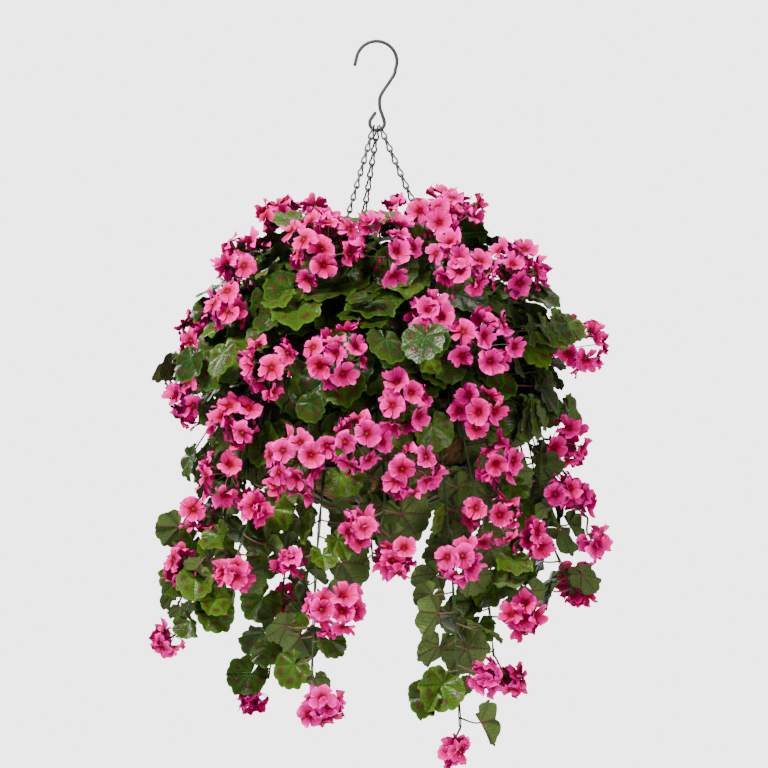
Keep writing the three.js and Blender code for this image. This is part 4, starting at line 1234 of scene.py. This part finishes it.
trail_leaves, trail_stems, trail_florets = Skin(), Skin(), Skin()
for trail in trails:
    path = through([trail["path"][0] - UP * (STEM_ROOT_DEPTH - 6), *trail["path"]], TWIST_POINTS - 1)
    ways = unit_rows(np.gradient(path, axis=0))
    flat = unit_rows(np.cross(ways, vec(0.3, 0.2, 1) + path[0] * 0.002))
    turns = np.linspace(0, TWIST, TWIST_POINTS)[:, None]
    twist = flat * np.cos(turns) + np.cross(ways, flat) * np.sin(turns)
    radii = np.linspace(1.35, 1.0, TWIST_POINTS)
    for strand in (1, -1):
        trail_stems.tube(path + twist * (strand * 1.1), radii, 5, GREEN, vary())
    for leaf in trail["leaves"] + trail["extra"]:
        rings = COARSE_RINGS if leaf["node"] == "added" else FINE_RINGS
        add_leaf(trail_leaves, leaf, vary(0.4, 0.94), scale=0.88, bend=1.7, rings=rings)
        line = bend_to(leaf["root"], leaf_end(leaf), outward(leaf["root"]), 0.3, leaf["normal"], 0.25, 8)
        trail_stems.tube(line, np.linspace(1.4, 1.1, len(line)), 4, MAUVE, vary())
    for head in trail["heads"]:
        drawn_in = {**head, "centre": head["centre"] * (1 - DRAWN_IN) + head["root"] * DRAWN_IN}
        hub = add_head(trail_florets, trail_stems, drawn_in, vary(-7, -3), vary(2.1, 2.5))
        line = bend_to(head["root"], hub, outward(head["root"]), 0.25, head["axis"], 0.3, 8)
        trail_stems.tube(line, 1.5, 5, MAUVE, vary())

# ---- Hook, chains and basket ----
LINK_STEPS = 32
LINK_OVERLAP = 0.075  # share of the pitch by which a link runs into each neighbour


def arc(centre, radius, start, end, steps):
    a = np.radians(np.linspace(start, end, steps + 1))
    return [vec(centre[0] + radius * math.cos(t), 0, centre[1] + radius * math.sin(t)) for t in a]


def make_hook():
    bends = [
        vec(-29.4, 0, -30.6),
        *arc((0, HOOK_WIRE - CROOK_RADIUS), CROOK_RADIUS, 158, -22, 13),
        *(vec(x, 0, z) for x, z in ((24.6, -41.5), (6.6, -69.5), (4.4, -75.5), (4.6, -88), (8, -98.5))),
        *arc(EYE_CENTRE, EYE_RADIUS, 18, -198, 12),
        vec(-1.6, 0, -94.6),
    ]
    hook = Skin()
    hook.tube(through(bends, 170), DRAWN_HOOK_WIRE, sides=12)
    hook.make("hook_wire", (HOOK_STEEL,), "dark_steel", ("hook",))


def link_line(top, down, across, over, start, end):
    """A loop of wire that narrows at its waist and turns from one angle to another on its way down."""
    line = []
    for step in range(LINK_STEPS + 1):
        phi = 2 * math.pi * step / LINK_STEPS
        along = 0.5 - 0.5 * math.cos(phi)
        angle = start + (end - start) * along * along * (3 - 2 * along)
        spread = math.sin(phi)
        wide = LINK_HALF_WIDTH * math.copysign(min(1, abs(spread) ** 0.7 * 1.05), spread)
        wide *= 1 - 0.45 * math.exp(-(((along - 0.5) / 0.16) ** 2))
        line.append(top + down * along + between(across, over, angle) * wide)
    return line


def make_chain(name, azimuth, side):
    top, bottom, down = chain_ends(azimuth, side)
    across = unit(off_plane(vec(0, 1, 0), down))
    over = np.cross(down, across)
    rim_eye = np.cross(polar(1, azimuth + 90, 0), down)
    twist = math.atan2(-(rim_eye @ across), rim_eye @ over)
    if abs(twist) > math.pi / 2:
        twist -= math.copysign(math.pi, twist)
    count = round(size_of(bottom - top) / LINK_PITCH)
    pitch = size_of(bottom - top) / count
    chain = Skin()
    for i in range(count):
        place, reach = top + down * (pitch * (i - LINK_OVERLAP)), down * (pitch * (1 + 2 * LINK_OVERLAP))
        start, end = twist * i / count, twist * (i + 1) / count + math.pi / 2
        chain.tube(link_line(place, reach, across, over, start, end), DRAWN_LINK_WIRE, 6)
    chain.make(f"{name}_links", (CHAIN_STEEL,), "dark_steel", (name,))


def bowl_point(inset, degrees):
    """Radius and height of a point inside the basket's bowl, at an angle below its rim."""
    a = math.radians(degrees)
    return (RIM_RADIUS - inset) * math.cos(a), RIM_HEIGHT - (BASKET_DEPTH - inset) * math.sin(a)


def make_basket():
    basket = Skin()
    lowest = 3 * BOWL_STEP
    for degrees, wire in ((0, BASKET_WIRE), (lowest / 2, HOOP_WIRE), (lowest, HOOP_WIRE)):
        radius, height = bowl_point(0.8, degrees)
        basket.tube([polar(radius, 360 * i / 96, height) for i in range(97)], wire, 8)
    for i in range(RIB_COUNT):
        rib = [bowl_point(0.8, lowest * step / 18) for step in range(19)]
        basket.tube([polar(radius, 360 * i / RIB_COUNT, height) for radius, height in rib], RIB_WIRE, 8)
    basket.make("basket_wires", (BLACK_WIRE,), "black_wire", ("wire_basket",))


make_hook()
for name, (azimuth, side) in CHAINS.items():
    make_chain(name, azimuth, side)
make_basket()


# ---- Liner and growing medium ----
FIBRES = 2400  # loose ones on the liner
FIBRE_PAINT = 1


def rough_turned(skin, profile, steps, lumps, flip=False):
    """A surface of revolution with lumps of a given height pressed into it."""
    rows = []
    for radius, height in profile:
        row = []
        for i in range(steps):
            place = polar(radius, 360 * i / steps, height)
            wobble = noise.noise(Vector(place * 0.06)) * 0.6 + noise.noise(Vector(place * 0.21)) * 0.4
            scale = 1 + lumps * wobble / max(radius, 30)
            row.append(vec(place[0] * scale, place[1] * scale, place[2] + lumps * 0.6 * wobble))
        rows.append(row)
    skin.grid(np.array(rows), np.zeros(2), wrap=True, flip=flip)


def add_fibre(skin, edge):
    """A bowed fibre that lies on the liner's outer face."""
    degrees, azimuth = vary(-5, 80), vary(0, 360)
    if degrees > 0:
        radius, height = bowl_point(LINER_STANDS_OFF - 1.2, degrees)
    else:
        radius, height = edge + 1, LINER_TOP - vary(0, 10)
    place = polar(radius, azimuth, height)
    out = unit(place - vec(0, 0, RIM_HEIGHT))
    way = unit(off_plane(any_way(), out))
    side = np.cross(out, way)
    reach, bow = vary(5, 15), vary(-4, 4)
    t = np.linspace(-1, 1, 4)[:, None, None]
    s = np.array([-0.22, 0.22])[None, :, None]
    strand = place + way * (reach * t) + side * (bow * t**2 + s) + out * (vary(0, 0.8) - 0.9 * t**2)
    skin.grid(strand, np.zeros(2), FIBRE_PAINT, vary())


def make_liner():
    liner = Skin()
    edge, inner_edge = RIM_RADIUS - LINER_STANDS_OFF, RIM_RADIUS - LINER_STANDS_OFF - LINER_THICKNESS
    profile = [bowl_point(LINER_STANDS_OFF, a) for a in np.linspace(89.5, 0, 30)]
    profile += [(edge, LINER_TOP - 4), (edge - 2, LINER_TOP - 0.5), (edge - LINER_THICKNESS / 2, LINER_TOP)]
    profile += [(inner_edge + 1, LINER_TOP - 1), (inner_edge, LINER_TOP - 5)]
    profile += [bowl_point(LINER_STANDS_OFF + LINER_THICKNESS, a) for a in np.linspace(0, 12, 4)]
    rough_turned(liner, profile, steps=150, lumps=2.2)
    for _ in range(FIBRES):
        add_fibre(liner, edge)
    liner.make("coir_liner", (COIR, COIR_FIBRE), "coir", ("coco_liner",))


def make_medium():
    medium = Skin()
    profile = [(r, MEDIUM_TOP - 1.5 - 2.5 * (r / 160) ** 4) for r in np.linspace(0.5, 160, 26)]
    rough_turned(medium, profile, steps=100, lumps=2.4, flip=True)
    medium.make("growing_mix", (MEDIUM,), "medium", ("growing_medium",))


make_liner()
make_medium()

# ---- Pieces of the plant ----
LEAF_PAINTS = (LEAF_TOP, LEAF_UNDER)
STALK_PAINTS = (GREEN_STALK, MAUVE_STALK, CALYX)
PETAL_PAINTS = (PETAL_FACE, PETAL_BACK, THROAT)
HEAD_NODES = [f"flower_head_{i + 1:02d}" for i in range(len(crown_heads))]
TRAIL_NODES = [trail["node"] for trail in trails]
for skin, name, paints, slot, nodes in (
    (near_leaves, "crown_leaves_front", LEAF_PAINTS, "foliage", ["crown_foliage"]),
    (far_leaves, "crown_leaves_back", LEAF_PAINTS, "foliage", ["crown_foliage"]),
    (inner_leaves, "crown_leaves_inner", LEAF_PAINTS, "foliage", ["crown_foliage"]),
    (shaded_leaves, "crown_leaves_deep", LEAF_PAINTS, "foliage", ["crown_foliage"]),
    (crown_stalks, "crown_stalks", STALK_PAINTS, "foliage", ["crown_foliage"]),
    (flower_stalks, "crown_flower_stalks", STALK_PAINTS, "foliage", HEAD_NODES),
    (near_florets, "crown_florets_front", PETAL_PAINTS, "petals", HEAD_NODES),
    (far_florets, "crown_florets_back", PETAL_PAINTS, "petals", HEAD_NODES),
    (trail_leaves, "trailing_leaves", LEAF_PAINTS, "foliage", TRAIL_NODES),
    (trail_stems, "trailing_stems", STALK_PAINTS, "foliage", TRAIL_NODES),
    (trail_florets, "trailing_florets", PETAL_PAINTS, "petals", TRAIL_NODES),
):
    skin.make(name, paints, slot, nodes)


# ---- Floor, light and camera: in metres ----
FLOOR_HEIGHT = -2.2
FLOOR_RADIUS = 4.0
SEEN_LIGHT, ROOM_LIGHT = 3.8, 0.4  # how bright the room looks, and how much light it gives
DISTANCE = 8.0
FRAME_WIDTH = 1.037  # across the picture at the object
FRAME_CENTRE = (0.0101, -0.461)  # across and up


def make_floor():
    a = np.linspace(0, 2 * math.pi, 65)[:-1]
    radii = (0.001, FLOOR_RADIUS / 2, FLOOR_RADIUS)
    rings = [[(r * math.cos(t), r * math.sin(t), FLOOR_HEIGHT) for t in a] for r in radii]
    skin = Skin()
    skin.grid(np.array(rings), np.zeros(2), wrap=True)
    mesh = bpy.data.meshes.new("floor")
    mesh.from_pydata(np.concatenate(skin.points).tolist(), [], np.concatenate(skin.quads).tolist())
    material = bpy.data.materials.new("floor")
    material.use_nodes = True
    shader = material.node_tree.nodes["Principled BSDF"]
    shader.inputs["Base Color"].default_value = tint(0.9, 0.9, 0.9)
    shader.inputs["Roughness"].default_value = 0.9
    mesh.materials.append(material)
    ground = bpy.data.objects.new("floor", mesh)
    bpy.context.scene.collection.objects.link(ground)


def make_world():
    """A room that looks brighter than the soft light it gives. In the render its walls are a pale grey."""
    world = bpy.data.worlds.new("studio")
    world.use_nodes = True
    tree = world.node_tree
    background = tree.nodes["Background"]
    background.inputs[0].default_value = (1, 1, 1, 1)
    strength = tree.nodes.new("ShaderNodeMath")
    strength.operation = "MULTIPLY_ADD"
    strength.inputs[1].default_value, strength.inputs[2].default_value = SEEN_LIGHT - ROOM_LIGHT, ROOM_LIGHT
    tree.links.new(tree.nodes.new("ShaderNodeLightPath").outputs["Is Camera Ray"], strength.inputs[0])
    tree.links.new(strength.outputs[0], background.inputs[1])
    bpy.context.scene.world = world


def area_light(name, place, target, size, power):
    light = bpy.data.lights.new(name, "AREA")
    light.shape, light.size, light.energy = "DISK", size, power
    lamp = bpy.data.objects.new(name, light)
    lamp.location = place
    lamp.rotation_euler = (Vector(target) - Vector(place)).to_track_quat("-Z", "Y").to_euler()
    bpy.context.scene.collection.objects.link(lamp)


def make_camera():
    camera = bpy.data.cameras.new("camera")
    camera.lens, camera.sensor_width = 36 * DISTANCE / FRAME_WIDTH, 36
    view = bpy.data.objects.new("camera", camera)
    view.location = (FRAME_CENTRE[0], -DISTANCE, FRAME_CENTRE[1])
    view.rotation_euler = (math.pi / 2, 0, 0)
    bpy.context.scene.collection.objects.link(view)
    bpy.context.scene.camera = view


make_floor()
make_world()
area_light("key", (-1.5, -2.1, 2.0), (0, 0, -0.45), size=0.9, power=440)
area_light("fill", (1.5, -3.0, -0.3), (0, 0, -0.55), size=1.4, power=112)
area_light("top", (0.7, 1.0, 2.2), (0, 0, -0.4), size=1.2, power=60)
area_light("back", (-1.5, 2.4, 0.6), (0, 0, -0.5), size=1.2, power=75)
make_camera()
